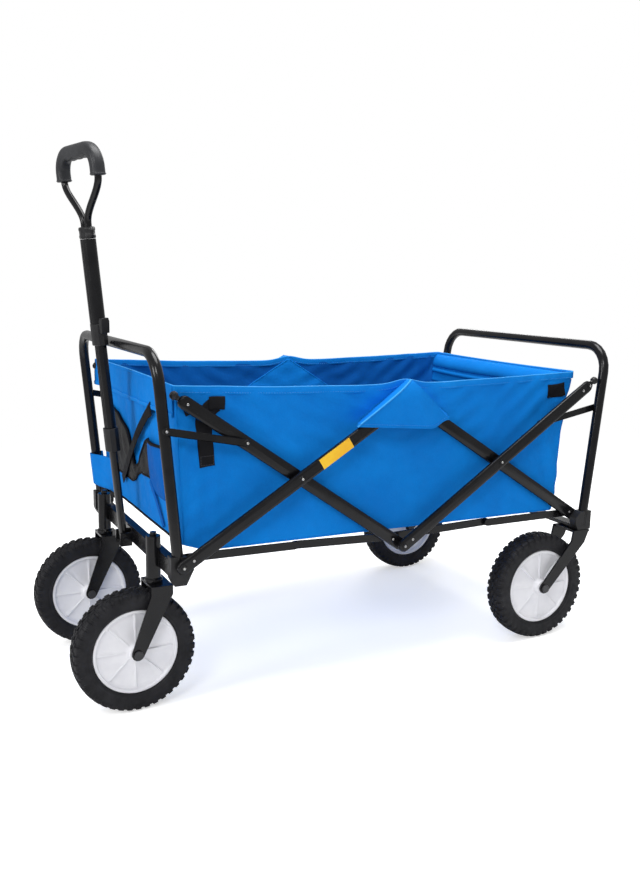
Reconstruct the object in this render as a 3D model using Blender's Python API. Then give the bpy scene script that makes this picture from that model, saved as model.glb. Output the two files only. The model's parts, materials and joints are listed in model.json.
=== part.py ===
"""Folding beach cart with a scissor frame, four wheels, a telescoping pull handle and a fabric basket.

Units are metres and +Z is up. The pull handle is at the front, which is -Y. The cart is mirrored about
the plane x = 0, except for the clamp lever, the twist of the handle and the way the casters point.
Every dimension is measured in the side frame's own space, in which the two end frames mirror each other.
The front wheels reach lower than the rear ones, so the cart stands with its front a little raised: piece()
turns and moves each finished solid by STANCE, which puts all four wheels on the ground and the origin
on the ground under the middle of the whole cart.
"""

import math

import bmesh
import bpy
from mathutils import Matrix, Vector

# ---------------------------------------------------------------- driving dimensions
FIT_GAP = 0.0003             # clearance left between two pieces that rest on each other
MIDDLE_Y = 0.0405            # the middle of the side frame is this far behind the origin

# bent frame tubes
TUBE_RADIUS = 0.009
FRONT_POST_X = 0.2440        # centre line of the front posts
REAR_POST_X = 0.2578         # centre line of the rear posts, one tube further out
POST_LEAN = math.radians(5.8)
POST_REF_Y = 0.4236          # a post centre line is this far from the middle ...
POST_REF_Z = 0.4477          # ... at this height
POST_FOOT_Z = 0.2225
FRAME_TOP_Z = 0.5632
BEND_RADIUS = 0.048

# scissor bars, seen from the side: (y, z) points of the front half, mirrored for the rear half
FOOT_PIVOT = (-0.3986, 0.2342)
TOP_PIVOT = (0.0, 0.4840)
LOW_PIVOT = (0.0, 0.2246)
LINK_POST_PIVOT = (-0.4236, 0.4477)
LINK_FROM_CROSSING = 0.1133  # link pivot on the inner bar, measured from the crossing
TIP_FROM_CROSSING = 0.2361   # end rivet of the inner bar, measured from the crossing
BAR_HALF_WIDTH = 0.011
BAR_EDGE = 0.0035            # rounding of a bar's long edges
OUTER_LAYER = (0.2534, 0.2624)
INNER_LAYER = (0.2394, 0.2484)
BOSS_RADIUS = 0.008
RIVET_RADIUS = 0.0052
RIVET_HEAD = 0.0016
BAR_END_BEYOND_TIP = 0.007
TIP_LENGTH = 0.015
TIP_RADIUS = 0.0068

# links between posts and bars
LINK_HALF_WIDTH = 0.006
LINK_THICKNESS = 0.0030

# lower side rails, in three thin layers so that the halves can pass each other
RAIL_HALF_HEIGHT = 0.007
RAIL_THICKNESS = 0.0030
RAIL_FOOT = (-0.3880, 0.2415)
RAIL_KNEE = (-0.1970, 0.2405)
RAIL_MIDDLE = (0.0, 0.2345)
RAIL_FOOT_X = 0.2342         # outer face of the rail halves at the feet
RAIL_FRONT_MIDDLE_X = 0.2308
RAIL_REAR_MIDDLE_X = 0.2274

# feet and crossbars
FOOT_LOW_Z = 0.2035
FOOT_TOP_Z = 0.2500
FOOT_Y = (0.3795, 0.4165)
CROSSBAR_Y = (0.3965, 0.4115)
FRONT_CROSSBAR_Z = (0.2120, 0.2395)
REAR_CROSSBAR_Y = (0.3870, 0.4110)
REAR_CROSSBAR_Z = (0.2140, 0.2215)
REAR_FLANGE_IN_X = 0.2392

# wheels
WHEEL_RADIUS = 0.1014
TYRE_HALF_WIDTH = 0.0205
HUB_RADIUS = 0.0700
HUB_HALF_WIDTH = 0.0165
HUB_BOSS_RADIUS = 0.0130
HUB_BOSS_HALF = 0.0245
AXLE_RADIUS = 0.0040
AXLE_CLEARANCE = 0.0005
FORK_INSIDE = 0.0262
FORK_THICKNESS = 0.0040
BOLT_HEAD_RADIUS = 0.0075
BOLT_HEAD = 0.0040
LEG_END_RADIUS = 0.0105      # round end of a fork leg about the axle
CROWN_THICKNESS = 0.0045

# casters: stem position, trail, and the direction in which the wheels trail
CASTER_X = 0.160
CASTER_Y = -0.417
CASTER_TRAIL = 0.0345
CASTER_HEADING = math.radians(-90.0)
CASTER_AXLE_Z = 0.0750
CASTER_CROWN_Z = (0.1702, 0.1850)
CASTER_CROWN_Y = (-0.0240, 0.0125)   # about the stem, along the trailing direction
HOUSING_Z = (0.1857, 0.2630)
HOUSING_RADIUS = 0.0120
STEM_RADIUS = 0.0055
STEM_GAP = 0.0005
WEB_HALF_WIDTH = 0.0080      # web between a housing and the crossbar
WEB_INSET = 0.0030
STEM_TOP_Z = 0.2690

# rear wheels
REAR_WHEEL_X = 0.2376
REAR_WHEEL_Y = 0.3130
REAR_AXLE_Z = 0.1080
REAR_CROWN_Z = (0.1930, 0.2135)
REAR_CROWN_Y = (0.3720, 0.4140)

# pull handle, measured along its own line from the hinge
HANDLE_Y = -0.4230
HANDLE_Z = 0.2165
HANDLE_LEAN = POST_LEAN
HANDLE_TWIST = math.radians(12.0)   # the tubes sit slightly turned about their own line
LOW_TUBE = (-0.0065, 0.250)
LOW_SECTION = (0.0190, 0.0110)      # width and depth of a flat-oval section
MIDDLE_TUBE = (0.201, 0.415)
MIDDLE_SECTION = (0.0245, 0.0165)
UPPER_TUBE = (0.381, 0.5205)
UPPER_SECTION = (0.0310, 0.0225)
UPPER_GROOVE = 0.0014               # depth of the groove between the two ribs
TUBE_WALL = 0.0014
SLIDE_GAP = 0.0010                  # play between two sections that slide in each other
LOW_COLLAR = (0.160, 0.2005)
LOW_COLLAR_SECTION = (0.0320, 0.0230)
CLAMP = (0.3440, 0.3805)
CLAMP_SECTION = (0.0350, 0.0235)
LEVER_X = (0.0182, 0.0292)
LEVER_HALF_DEPTH = 0.0075
LEVER_PIVOT = (0.0248, 0.0, 0.3670)
LEVER_FOOT = 0.0020                 # the lever ends this far below its pivot
LEVER_TOP = 0.3905
TOP_COLLAR = (0.5210, 0.5400)
TOP_COLLAR_SECTION = (0.0350, 0.0230)
LOOP_FOOT = 0.5405
LOOP_FOOT_X = 0.0075
LOOP_SHOULDER = 0.6150              # the loop is widest from here up to its top corners
LOOP_CORNER_RADIUS = 0.030
LOOP_TOP = 0.6600
LOOP_HALF_WIDTH = 0.0640
LOOP_TUBE_RADIUS = 0.0058
GRIP_RADIUS = 0.0122
GRIP_GAP = 0.0004
GRIP_LOW = 0.6140                   # the grip covers the loop above this distance

# hinge bracket of the pull handle
EAR_X = (0.0132, 0.0172)
EAR_TOP_Z = 0.2300
BRACKET_Z = (0.2060, 0.2380)
BRACKET_PLATE = 0.0015
EAR_NOSE = 0.0100                   # an ear reaches this far beyond the hinge
HINGE_BOLT_RADIUS = 0.0032
HINGE_HOLE_RADIUS = 0.0036
HINGE_HEAD_RADIUS = 0.0055
HINGE_HEAD = 0.0038

# fabric basket
BASKET_HALF_WIDTH = 0.2360
BASKET_WALL = 0.0030
BASKET_BOTTOM_Z = 0.2495
BASKET_TOP_Z = 0.5050
BASKET_OUTLINE = (
    (-0.352, BASKET_BOTTOM_Z),
    (0.350, BASKET_BOTTOM_Z),
    (0.378, 0.2640),
    (0.392, BASKET_TOP_Z),
    (-0.410, BASKET_TOP_Z),
    (-0.398, 0.2740),
)
BOARD_HALF = (0.2225, 0.3450)
BOARD_Z = (0.2530, 0.2620)

ROUND = 16                   # sides of a round tube
WHEEL_SIDES = 32

# ---------------------------------------------------------------- points that follow from the dimensions
RAKE = math.atan2(REAR_AXLE_Z - CASTER_AXLE_Z, REAR_WHEEL_Y - (CASTER_Y - CASTER_TRAIL))
REAR_AXLE_LEVEL = REAR_AXLE_Z * math.cos(RAKE) - REAR_WHEEL_Y * math.sin(RAKE)
STANCE = Matrix.Translation((0.0, MIDDLE_Y, WHEEL_RADIUS - REAR_AXLE_LEVEL)) @ Matrix.Rotation(-RAKE, 4, "X")
CROSSING = tuple((a + b) / 2 for a, b in zip(FOOT_PIVOT, TOP_PIVOT))
INNER_LINE = Vector((CROSSING[0] - LOW_PIVOT[0], CROSSING[1] - LOW_PIVOT[1])).normalized()
LINK_BAR_PIVOT = tuple(Vector(CROSSING) + INNER_LINE * LINK_FROM_CROSSING)
TIP_RIVET = tuple(Vector(CROSSING) + INNER_LINE * TIP_FROM_CROSSING)


def mirror_y(point):
    """The rear half's (y, z) point for a front half's one."""
    return (-point[0], point[1])


# ---------------------------------------------------------------- materials
def material(name, colour, roughness, metallic=0.0):
    made = bpy.data.materials.new(name)
    made.use_nodes = True
    shader = made.node_tree.nodes["Principled BSDF"]
    shader.inputs["Base Color"].default_value = (*colour, 1.0)
    shader.inputs["Roughness"].default_value = roughness
    shader.inputs["Metallic"].default_value = metallic
    return made


# ---------------------------------------------------------------- mesh helpers
def ring(bm, points):
    return [bm.verts.new(p) for p in points]


def bridge(bm, first, second):
    count = len(first)
    for i in range(count):
        j = (i + 1) % count
        bm.faces.new((first[i], first[j], second[j], second[i]))


def loft(rings, closed=False):
    """A closed solid through rings of equal size; its ends are capped unless it closes on itself."""
    bm = bmesh.new()
    made = [ring(bm, points) for points in rings]
    for first, second in zip(made, made[1:]):
        bridge(bm, first, second)
    if closed:
        bridge(bm, made[-1], made[0])
    else:
        bm.faces.new(list(reversed(made[0])))
        bm.faces.new(made[-1])
    bmesh.ops.recalc_face_normals(bm, faces=bm.faces)
    return bm


def circle(radius, sides=ROUND):
    angles = [2 * math.pi * (i + 0.5) / sides for i in range(sides)]
    return [(radius * math.cos(a), radius * math.sin(a)) for a in angles]


def arc(centre, radius, start, end, steps):
    """Points of an arc in a plane, angles in radians."""
    turn = [start + (end - start) * i / steps for i in range(steps + 1)]
    return [(centre[0] + radius * math.cos(a), centre[1] + radius * math.sin(a)) for a in turn]


def capsule(start, end, radius, steps=6):
    """Outline round a line from start to end in a plane, with round ends."""
    heading = math.atan2(end[1] - start[1], end[0] - start[0])
    quarter = math.pi / 2
    far = arc(end, radius, heading - quarter, heading + quarter, steps)
    near = arc(start, radius, heading + quarter, heading + 3 * quarter, steps)
    return far + near


def flat_oval(width, depth, steps=4):
    """Section of a flat-oval tube about its centre: width along the first axis, depth along the second."""
    half = (width - depth) / 2
    return capsule((-half, 0.0), (half, 0.0), depth / 2, steps)


def twin_section(width, depth, groove):
    """Flat-oval section with a groove along the middle of both wide faces."""
    section = flat_oval(width, depth)
    reach = depth / 2
    notch = [(0.0028, reach), (0.0, reach - groove), (-0.0028, reach)]
    count = len(section) // 2
    upper, lower = section[:count], section[count:]
    return upper + notch + lower + [(-x, -y) for x, y in notch]


def prism_x(outline, low, high):
    """Solid between two x planes with a (y, z) outline."""
    return loft([[(x, y, z) for y, z in outline] for x in (low, high)])


def box(low, high):
    """Box between two corners."""
    outline = [(low[1], low[2]), (high[1], low[2]), (high[1], high[2]), (low[1], high[2])]
    return prism_x(outline, low[0], high[0])


def cylinder_x(centre, radius, low, high, sides=ROUND):
    """Cylinder along x about a (y, z) centre."""
    return prism_x([(centre[0] + y, centre[1] + z) for y, z in circle(radius, sides)], low, high)


def rounded_bar(start, end, radius, low, high, edge):
    """Flat-oval bar lying in an x layer, with its long edges rounded."""
    steps = 2
    inset = [edge * (1 - math.sin(math.pi / 2 * i / steps)) for i in range(steps + 1)]
    depth = [edge * (1 - math.cos(math.pi / 2 * i / steps)) for i in range(steps + 1)]
    layers = [(low + d, i) for d, i in zip(depth, inset)]
    layers += [(high - d, i) for d, i in reversed(list(zip(depth, inset)))]
    return loft([[(x, y, z) for y, z in capsule(start, end, radius - i)] for x, i in layers])


def tube_along(path, section, normal, closed=False):
    """Solid of constant section along a flat path. The section's first axis is the plane's normal."""
    points = [Vector(p) for p in path]
    normal = Vector(normal).normalized()
    rings = []
    for i, point in enumerate(points):
        before = points[i - 1] if (i or closed) else None
        after = points[(i + 1) % len(points)] if (i + 1 < len(points) or closed) else None
        ways = []
        if before is not None:
            ways.append((point - before).normalized())
        if after is not None:
            ways.append((after - point).normalized())
        way = sum(ways, Vector()).normalized()
        stretch = 1.0 / max(way.dot(ways[0]), 0.5)
        side = way.cross(normal)
        rings.append([point + normal * a + side * (b * stretch) for a, b in section])
    return loft(rings, closed)


def hollow_along(path, outer, inner, normal):
    """Open-ended tube: an outer and an inner skin along a flat path, joined at both ends."""
    skin = tube_along(path, outer, normal)
    bore = tube_along(path, inner, normal)
    for bm in (skin, bore):
        ends = [f for f in bm.faces if len(f.verts) == len(outer) and len(f.verts) > 4]
        bmesh.ops.delete(bm, geom=ends, context="FACES_ONLY")
    bmesh.ops.reverse_faces(bore, faces=bore.faces)
    mesh = bpy.data.meshes.new("bore")
    bore.to_mesh(mesh)
    bore.free()
    skin.from_mesh(mesh)
    bpy.data.meshes.remove(mesh)
    skin.verts.ensure_lookup_table()
    count, last = len(outer), len(skin.verts) // 2
    for first in (0, last - count):
        near = [skin.verts[first + i] for i in range(count)]
        far = [skin.verts[last + first + i] for i in range(count)]
        bridge(skin, near, far)
    bmesh.ops.recalc_face_normals(skin, faces=skin.faces)
    return skin


def turned(profile, centre, axis, sides):
    """Ring turned about an axis. The closed profile is (distance along the axis, radius) points."""
    axis = Vector(axis).normalized()
    across = axis.orthogonal().normalized()
    rings = []
    for i in range(sides):
        out = Matrix.Rotation(2 * math.pi * i / sides, 3, axis) @ across
        rings.append([Vector(centre) + axis * along + out * radius for along, radius in profile])
    return loft(rings, closed=True)


def rod(centre, axis, steps, sides=ROUND):
    """Solid round bar turned about an axis from (distance along the axis, radius) steps."""
    axis = Vector(axis).normalized()
    across = axis.orthogonal().normalized()
    third = axis.cross(across)
    rings = []
    for along, radius in steps:
        middle = Vector(centre) + axis * along
        rings.append([middle + across * a + third * b for a, b in circle(radius, sides)])
    return loft(rings)


def boolean(base, others, operation):
    """The base solid joined with, or cut by, the other solids."""
    objects = []
    for bm in [base, *others]:
        mesh = bpy.data.meshes.new("work")
        bm.to_mesh(mesh)
        bm.free()
        work = bpy.data.objects.new("work", mesh)
        bpy.context.scene.collection.objects.link(work)
        objects.append(work)
    for other in objects[1:]:
        modifier = objects[0].modifiers.new("combine", "BOOLEAN")
        modifier.operation = operation
        modifier.solver = "EXACT"
        modifier.object = other
    bpy.context.view_layer.update()
    evaluated = objects[0].evaluated_get(bpy.context.evaluated_depsgraph_get())
    result = bmesh.new()
    result.from_mesh(evaluated.to_mesh())
    evaluated.to_mesh_clear()
    for work in objects:
        mesh = work.data
        bpy.data.objects.remove(work)
        bpy.data.meshes.remove(mesh)
    bmesh.ops.remove_doubles(result, verts=result.verts, dist=1e-6)
    return result


def joined(base, *others):
    return boolean(base, others, "UNION")


def cut(base, *others):
    return boolean(base, others, "DIFFERENCE")


def mirrored_x(bm):
    """The same solid on the other side of the plane x = 0."""
    copy = bm.copy()
    bmesh.ops.scale(copy, vec=(-1, 1, 1), verts=copy.verts)
    bmesh.ops.reverse_faces(copy, faces=copy.faces)
    return copy


def piece(name, bm, look, origin=(0.0, 0.0, 0.0)):
    """One named object, placed by STANCE, with its own material and its origin on its joint's axis."""
    place = STANCE @ Vector(origin)
    bm.transform(Matrix.Translation(-place) @ STANCE)
    mesh = bpy.data.meshes.new(name)
    bm.to_mesh(mesh)
    bm.free()
    mesh.materials.append(material(name + "_look", *look))
    mesh.shade_smooth()
    mesh.set_sharp_from_angle(angle=math.radians(35))
    made = bpy.data.objects.new(name, mesh)
    made.location = place
    bpy.context.scene.collection.objects.link(made)
    return made


def both_sides(name, make, look, origin=(0.0, 0.0, 0.0)):
    """A piece for the +X side and its mirror image for the -X side."""
    bm = make()
    piece(name + "_right", mirrored_x(bm), look, (-origin[0], origin[1], origin[2]))
    piece(name + "_left", bm, look, origin)


BLACK_PAINT = ((0.020, 0.020, 0.022), 0.38, 0.0)
BLACK_PLASTIC = ((0.018, 0.018, 0.020), 0.55, 0.0)
GREY_PLASTIC = ((0.055, 0.060, 0.068), 0.60, 0.0)
ZINC = ((0.45, 0.45, 0.46), 0.35, 1.0)
RUBBER = ((0.016, 0.016, 0.017), 0.80, 0.0)
HUB_WHITE = ((0.78, 0.78, 0.82), 0.35, 0.0)
BLUE_FABRIC = ((0.010, 0.190, 0.600), 0.85, 0.0)
BOARD_BLACK = ((0.030, 0.030, 0.035), 0.90, 0.0)


# ---------------------------------------------------------------- frame tubes, crossbars and feet
def post_y(z):
    """How far a post's centre line is from the middle of the cart at a height."""
    return POST_REF_Y + (z - POST_REF_Z) * math.tan(POST_LEAN)


def frame_tube(side, post_x):
    """Inverted U: two leaning posts and the top bar between them. side is -1 at the front."""
    corner = math.pi / 2
    flat = [(post_x, POST_FOOT_Z)]
    flat += arc((post_x - BEND_RADIUS, FRAME_TOP_Z - BEND_RADIUS), BEND_RADIUS, 0.0, corner, 6)
    flat += [(-x, z) for x, z in reversed(flat)]
    path = [(x, side * post_y(z), z) for x, z in flat]
    normal = (0.0, math.cos(POST_LEAN), -side * math.sin(POST_LEAN))
    return tube_along(path, circle(TUBE_RADIUS), normal)


def post_hole(side, post_x):
    """Cutter for the socket that a post stands in."""
    low = POST_FOOT_Z - FIT_GAP
    high = FOOT_TOP_Z + 0.02
    path = [(post_x, side * post_y(z), z) for z in (low, high)]
    normal = (0.0, math.cos(POST_LEAN), -side * math.sin(POST_LEAN))
    return tube_along(path, circle(TUBE_RADIUS + FIT_GAP), normal)


def foot_block(side, low_x, high_x):
    """Plastic foot round the end of a post, chamfered towards the middle of the cart."""
    inner, outer = FOOT_Y
    chamfer = 0.012
    outline = [
        (inner + chamfer, FOOT_LOW_Z),
        (outer - chamfer / 2, FOOT_LOW_Z),
        (outer, FOOT_LOW_Z + chamfer),
        (outer, FOOT_TOP_Z),
        (inner + chamfer, FOOT_TOP_Z),
        (inner, FOOT_TOP_Z - chamfer),
        (inner, FOOT_LOW_Z + 2 * chamfer),
    ]
    return prism_x([(side * y, z) for y, z in outline], low_x, high_x)


def front_foot():
    block = foot_block(-1, RAIL_FOOT_X + FIT_GAP, FRONT_POST_X + TUBE_RADIUS)
    return cut(block, post_hole(-1, FRONT_POST_X))


def rear_foot():
    """Foot outside the inner bar layer, with a flange that runs inwards over the fork crown."""
    near_y, far_y = REAR_CROSSBAR_Y
    low, high = REAR_CROSSBAR_Z
    block = foot_block(1, REAR_POST_X - TUBE_RADIUS, REAR_POST_X + TUBE_RADIUS)
    below = box((REAR_FLANGE_IN_X, FOOT_Y[0] - 0.05, 0.0), (REAR_POST_X + 0.05, FOOT_Y[1] + 0.05, low))
    block = cut(block, below)
    flange = box((REAR_FLANGE_IN_X, near_y, low), (REAR_POST_X, far_y, high))
    return cut(joined(block, flange), post_hole(1, REAR_POST_X))


def stem_housing(x):
    """Upright tube that a caster's stem turns in, with a flange at its foot."""
    low, high = HOUSING_Z
    flange = HOUSING_RADIUS + 0.003
    steps = [(low, flange), (low + 0.005, flange), (low + 0.008, HOUSING_RADIUS), (high, HOUSING_RADIUS)]
    return rod((x, CASTER_Y, 0.0), (0, 0, 1), steps, 20)


def front_crossbar():
    """Box-section crossbar with both caster stem housings welded to its front."""
    reach = RAIL_FOOT_X
    low, high = FRONT_CROSSBAR_Z
    bar = box((-reach, -CROSSBAR_Y[1], low), (reach, -CROSSBAR_Y[0], high))
    housings, bores = [], []
    for x in (-CASTER_X, CASTER_X):
        bridge_low = (x - WEB_HALF_WIDTH, CASTER_Y, low + WEB_INSET)
        bridge_high = (x + WEB_HALF_WIDTH, -CROSSBAR_Y[0] - WEB_INSET, high - WEB_INSET)
        housings.append(box(bridge_low, bridge_high))
        housings.append(stem_housing(x))
        radius = STEM_RADIUS + STEM_GAP
        bore = [(HOUSING_Z[0] - 0.01, radius), (HOUSING_Z[1] + 0.01, radius)]
        bores.append(rod((x, CASTER_Y, 0.0), (0, 0, 1), bore, 12))
    return cut(joined(bar, *housings), *bores)


def rear_crossbar():
    reach = REAR_FLANGE_IN_X - FIT_GAP
    low, high = REAR_CROSSBAR_Z
    return box((-reach, REAR_CROSSBAR_Y[0], low), (reach, REAR_CROSSBAR_Y[1], high))


# ---------------------------------------------------------------- scissor bars, tips and links
def rivet(centre, face_x, outwards=1):
    """Rivet head standing on an x face, sunk 1 mm into it."""
    ends = sorted((face_x - outwards * 0.001, face_x + outwards * RIVET_HEAD))
    return cylinder_x(centre, RIVET_RADIUS, *ends, sides=12)


def boss(centre):
    """Spacer on the inner face of an outer-layer bar that bridges the gap to the inner layer."""
    return cylinder_x(centre, BOSS_RADIUS, INNER_LAYER[1] + FIT_GAP, OUTER_LAYER[0] + 0.001, sides=12)


def outer_bar(foot, top, rivets, bosses):
    bar = rounded_bar(foot, top, BAR_HALF_WIDTH, *OUTER_LAYER, BAR_EDGE)
    heads = [rivet(centre, OUTER_LAYER[1]) for centre in rivets]
    return joined(bar, *heads, *[boss(centre) for centre in bosses])


def inner_bar(start, end, rivets):
    bar = rounded_bar(start, end, BAR_HALF_WIDTH, *INNER_LAYER, BAR_EDGE)
    return joined(bar, *[rivet(centre, INNER_LAYER[1]) for centre in rivets])


def bar_end():
    """End point of the tube of a bar that carries a corner tip."""
    return tuple(Vector(TIP_RIVET) + INNER_LINE * (BAR_END_BEYOND_TIP - BAR_HALF_WIDTH))


def corner_tip(layer):
    """Plastic knob in the end of a bar, which holds a corner of the basket."""
    start = Vector(TIP_RIVET) + INNER_LINE * BAR_END_BEYOND_TIP
    centre_x = sum(layer) / 2
    axis = (0.0, *INNER_LINE)
    neck = TIP_RADIUS * 0.6
    steps = [(FIT_GAP, neck), (TIP_LENGTH * 0.25, neck), (TIP_LENGTH * 0.4, TIP_RADIUS)]
    steps += [(TIP_LENGTH * 0.8, TIP_RADIUS), (TIP_LENGTH, TIP_RADIUS * 0.55)]
    return rod((centre_x, *start), axis, steps, 12)


def mirrored_y(bm):
    """The rear half's solid for a front half's one."""
    bmesh.ops.scale(bm, vec=(1, -1, 1), verts=bm.verts)
    bmesh.ops.reverse_faces(bm, faces=bm.faces)
    return bm


def front_link():
    low = OUTER_LAYER[0]
    plate = prism_x(capsule(LINK_POST_PIVOT, LINK_BAR_PIVOT, LINK_HALF_WIDTH), low, low + LINK_THICKNESS)
    heads = [rivet(centre, low + LINK_THICKNESS) for centre in (LINK_POST_PIVOT, LINK_BAR_PIVOT)]
    spacer = cylinder_x(LINK_BAR_PIVOT, RIVET_RADIUS, INNER_LAYER[1] + FIT_GAP, low + 0.001, 12)
    return joined(plate, *heads, spacer)


def rear_link():
    high = INNER_LAYER[1]
    post, bar = mirror_y(LINK_POST_PIVOT), mirror_y(LINK_BAR_PIVOT)
    plate = prism_x(capsule(post, bar, LINK_HALF_WIDTH), high - LINK_THICKNESS, high)
    spacer = cylinder_x(bar, RIVET_RADIUS, high - 0.001, OUTER_LAYER[0] - FIT_GAP, 12)
    return joined(plate, spacer)


# ---------------------------------------------------------------- lower side rails
def rail(start, end, outer_x):
    return prism_x(capsule(start, end, RAIL_HALF_HEIGHT), outer_x - RAIL_THICKNESS, outer_x)


# ---------------------------------------------------------------- wheels and forks
def tyre_profile():
    """Rounded tyre section, as (distance along the axle, radius) points."""
    half, top, seat = TYRE_HALF_WIDTH, WHEEL_RADIUS, HUB_RADIUS + FIT_GAP
    return [
        (-half * 0.80, seat),
        (half * 0.80, seat),
        (half * 0.97, seat + 0.009),
        (half, seat + 0.019),
        (half * 0.72, top - 0.003),
        (half * 0.35, top),
        (-half * 0.35, top),
        (-half * 0.72, top - 0.003),
        (-half, seat + 0.019),
        (-half * 0.97, seat + 0.009),
    ]


def hub_profile():
    """Dished hub: raised rim ring, thin disc and a long centre boss with a bore for the axle."""
    rim, disc, bore = HUB_HALF_WIDTH, 0.0060, AXLE_RADIUS + AXLE_CLEARANCE
    rising = [
        (-HUB_BOSS_HALF, HUB_BOSS_RADIUS),
        (-disc, HUB_BOSS_RADIUS + 0.006),
        (-disc, HUB_RADIUS - 0.012),
        (-rim, HUB_RADIUS - 0.006),
        (-rim, HUB_RADIUS),
    ]
    falling = [(-along, radius) for along, radius in reversed(rising)]
    return rising + falling + [(HUB_BOSS_HALF, bore), (-HUB_BOSS_HALF, bore)]


def axle_bolt(centre, axis):
    """Bolt through a fork, with a head and a nut outside its legs."""
    inside = FORK_INSIDE + FORK_THICKNESS + FIT_GAP
    outside = inside + BOLT_HEAD
    steps = [(-outside, BOLT_HEAD_RADIUS), (-inside, BOLT_HEAD_RADIUS), (-inside, AXLE_RADIUS)]
    steps += [(inside, AXLE_RADIUS), (inside, BOLT_HEAD_RADIUS), (outside, BOLT_HEAD_RADIUS)]
    return rod(centre, axis, steps, 12)


def fork_leg_outline(axle, crown_low, crown_high):
    """Leg outline in the wheel's plane: wide at the crown, round at the axle. Points are (forward, up)."""
    (back, low), (front, high) = crown_low, crown_high
    middle = ((back + front) / 2, high)
    heading = math.atan2(axle[1] - middle[1], axle[0] - middle[0])
    end = arc(axle, LEG_END_RADIUS, heading - math.pi / 2, heading + math.pi / 2, 6)
    return [(back, high), (back, low)] + end + [(front, low), (front, high)]


def caster_fork():
    """Swivel fork made about its stem at the origin, trailing towards +Y."""
    low, high = CASTER_CROWN_Z
    inside, outside = FORK_INSIDE, FORK_INSIDE + FORK_THICKNESS
    back, front = CASTER_CROWN_Y
    axle = (CASTER_TRAIL, CASTER_AXLE_Z)
    outline = fork_leg_outline(axle, (back, low), (front, high))
    legs = [prism_x(outline, inside, outside), prism_x(outline, -outside, -inside)]
    crown = box((-outside, back, high - CROWN_THICKNESS), (outside, front, high))
    stem = rod((0, 0, 0), (0, 0, 1), [(high - 0.001, STEM_RADIUS), (STEM_TOP_Z, STEM_RADIUS)], 12)
    hole = cylinder_x(axle, AXLE_RADIUS + FIT_GAP, -2 * outside, 2 * outside, 12)
    return cut(joined(crown, *legs, stem), hole)


def rear_fork():
    """Fixed fork made about x = 0 in world y and z, leaning forwards to its axle."""
    low, high = REAR_CROWN_Z
    back, front = REAR_CROWN_Y
    inside, outside = FORK_INSIDE, FORK_INSIDE + FORK_THICKNESS
    axle = (REAR_WHEEL_Y, REAR_AXLE_Z)
    heading = math.atan2(REAR_AXLE_Z - (low + high) / 2, REAR_WHEEL_Y - (back + front) / 2)
    end = arc(axle, LEG_END_RADIUS, heading - math.pi / 2, heading + math.pi / 2, 6)
    outline = [(back + 0.004, high), (back, low)] + end + [(front - 0.010, low - 0.004), (front, high)]
    legs = [prism_x(outline, inside, outside), prism_x(outline, -outside, -inside)]
    crown = box((-outside, back + 0.006, high - CROWN_THICKNESS), (outside, front, high))
    hole = cylinder_x(axle, AXLE_RADIUS + FIT_GAP, -2 * outside, 2 * outside, 12)
    return cut(joined(crown, *legs), hole)


def wheel(name, centre, axis):
    """Tyre, hub and axle bolt of one wheel."""
    piece("tyre_" + name, turned(tyre_profile(), centre, axis, WHEEL_SIDES), RUBBER, centre)
    piece("hub_" + name, turned(hub_profile(), centre, axis, WHEEL_SIDES), HUB_WHITE, centre)
    piece("axle_" + name, axle_bolt(centre, axis), ZINC, centre)


def caster(name, x):
    """One swivel caster: fork with stem, and its wheel."""
    stem = (x, CASTER_Y, 0.0)
    fork = caster_fork()
    fork.transform(Matrix.Translation(stem) @ Matrix.Rotation(CASTER_HEADING - math.pi / 2, 4, "Z"))
    piece("caster_fork_" + name, fork, BLACK_PAINT, stem)
    trail = Vector((math.cos(CASTER_HEADING), math.sin(CASTER_HEADING), 0.0))
    centre = Vector(stem) + trail * CASTER_TRAIL + Vector((0, 0, CASTER_AXLE_Z))
    wheel("front_" + name, centre, (-trail.y, trail.x, 0.0))


def rear_wheel(name, x):
    fork = rear_fork()
    fork.transform(Matrix.Translation((x, 0, 0)))
    piece("rear_fork_" + name, fork, BLACK_PAINT, (x, REAR_WHEEL_Y, REAR_AXLE_Z))
    wheel("rear_" + name, Vector((x, REAR_WHEEL_Y, REAR_AXLE_Z)), (1, 0, 0))


# ---------------------------------------------------------------- pull handle
def handle_matrix():
    """Handle space (x across, y towards the cart, z along the handle) to world."""
    place = Matrix.Translation((0.0, HANDLE_Y, HANDLE_Z))
    return place @ Matrix.Rotation(HANDLE_LEAN, 4, "X") @ Matrix.Rotation(HANDLE_TWIST, 4, "Z")


def handle_piece(name, bm, look):
    bm.transform(handle_matrix())
    return piece(name, bm, look, (0.0, HANDLE_Y, HANDLE_Z))


def upright(section, low, high):
    """Solid of a section in handle space between two distances along the handle."""
    return loft([[(x, y, s) for x, y in section] for s in (low, high)])


def sleeve(outer, inner, low, high):
    """Open-ended tube in handle space, from (width, depth) of its outer and inner flat-oval sections."""
    body = upright(flat_oval(*outer), low, high)
    bore = upright(flat_oval(*inner), low - 0.01, high + 0.01)
    return cut(body, bore)


def wider(section, amount):
    return (section[0] + amount, section[1] + amount)


def handle_bracket():
    """Clevis on the front crossbar: two ears with the hinge bolt riveted through them."""
    back = -CROSSBAR_Y[1] - FIT_GAP
    ear_in, ear_out = EAR_X
    low, high = BRACKET_Z
    plate = box((-ear_out, back - BRACKET_PLATE, low), (ear_out, back, high))
    ear = box((ear_in, HANDLE_Y - EAR_NOSE, low), (ear_out, back, EAR_TOP_Z))
    return joined(plate, mirrored_x(ear), ear, hinge_bolt())


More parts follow.
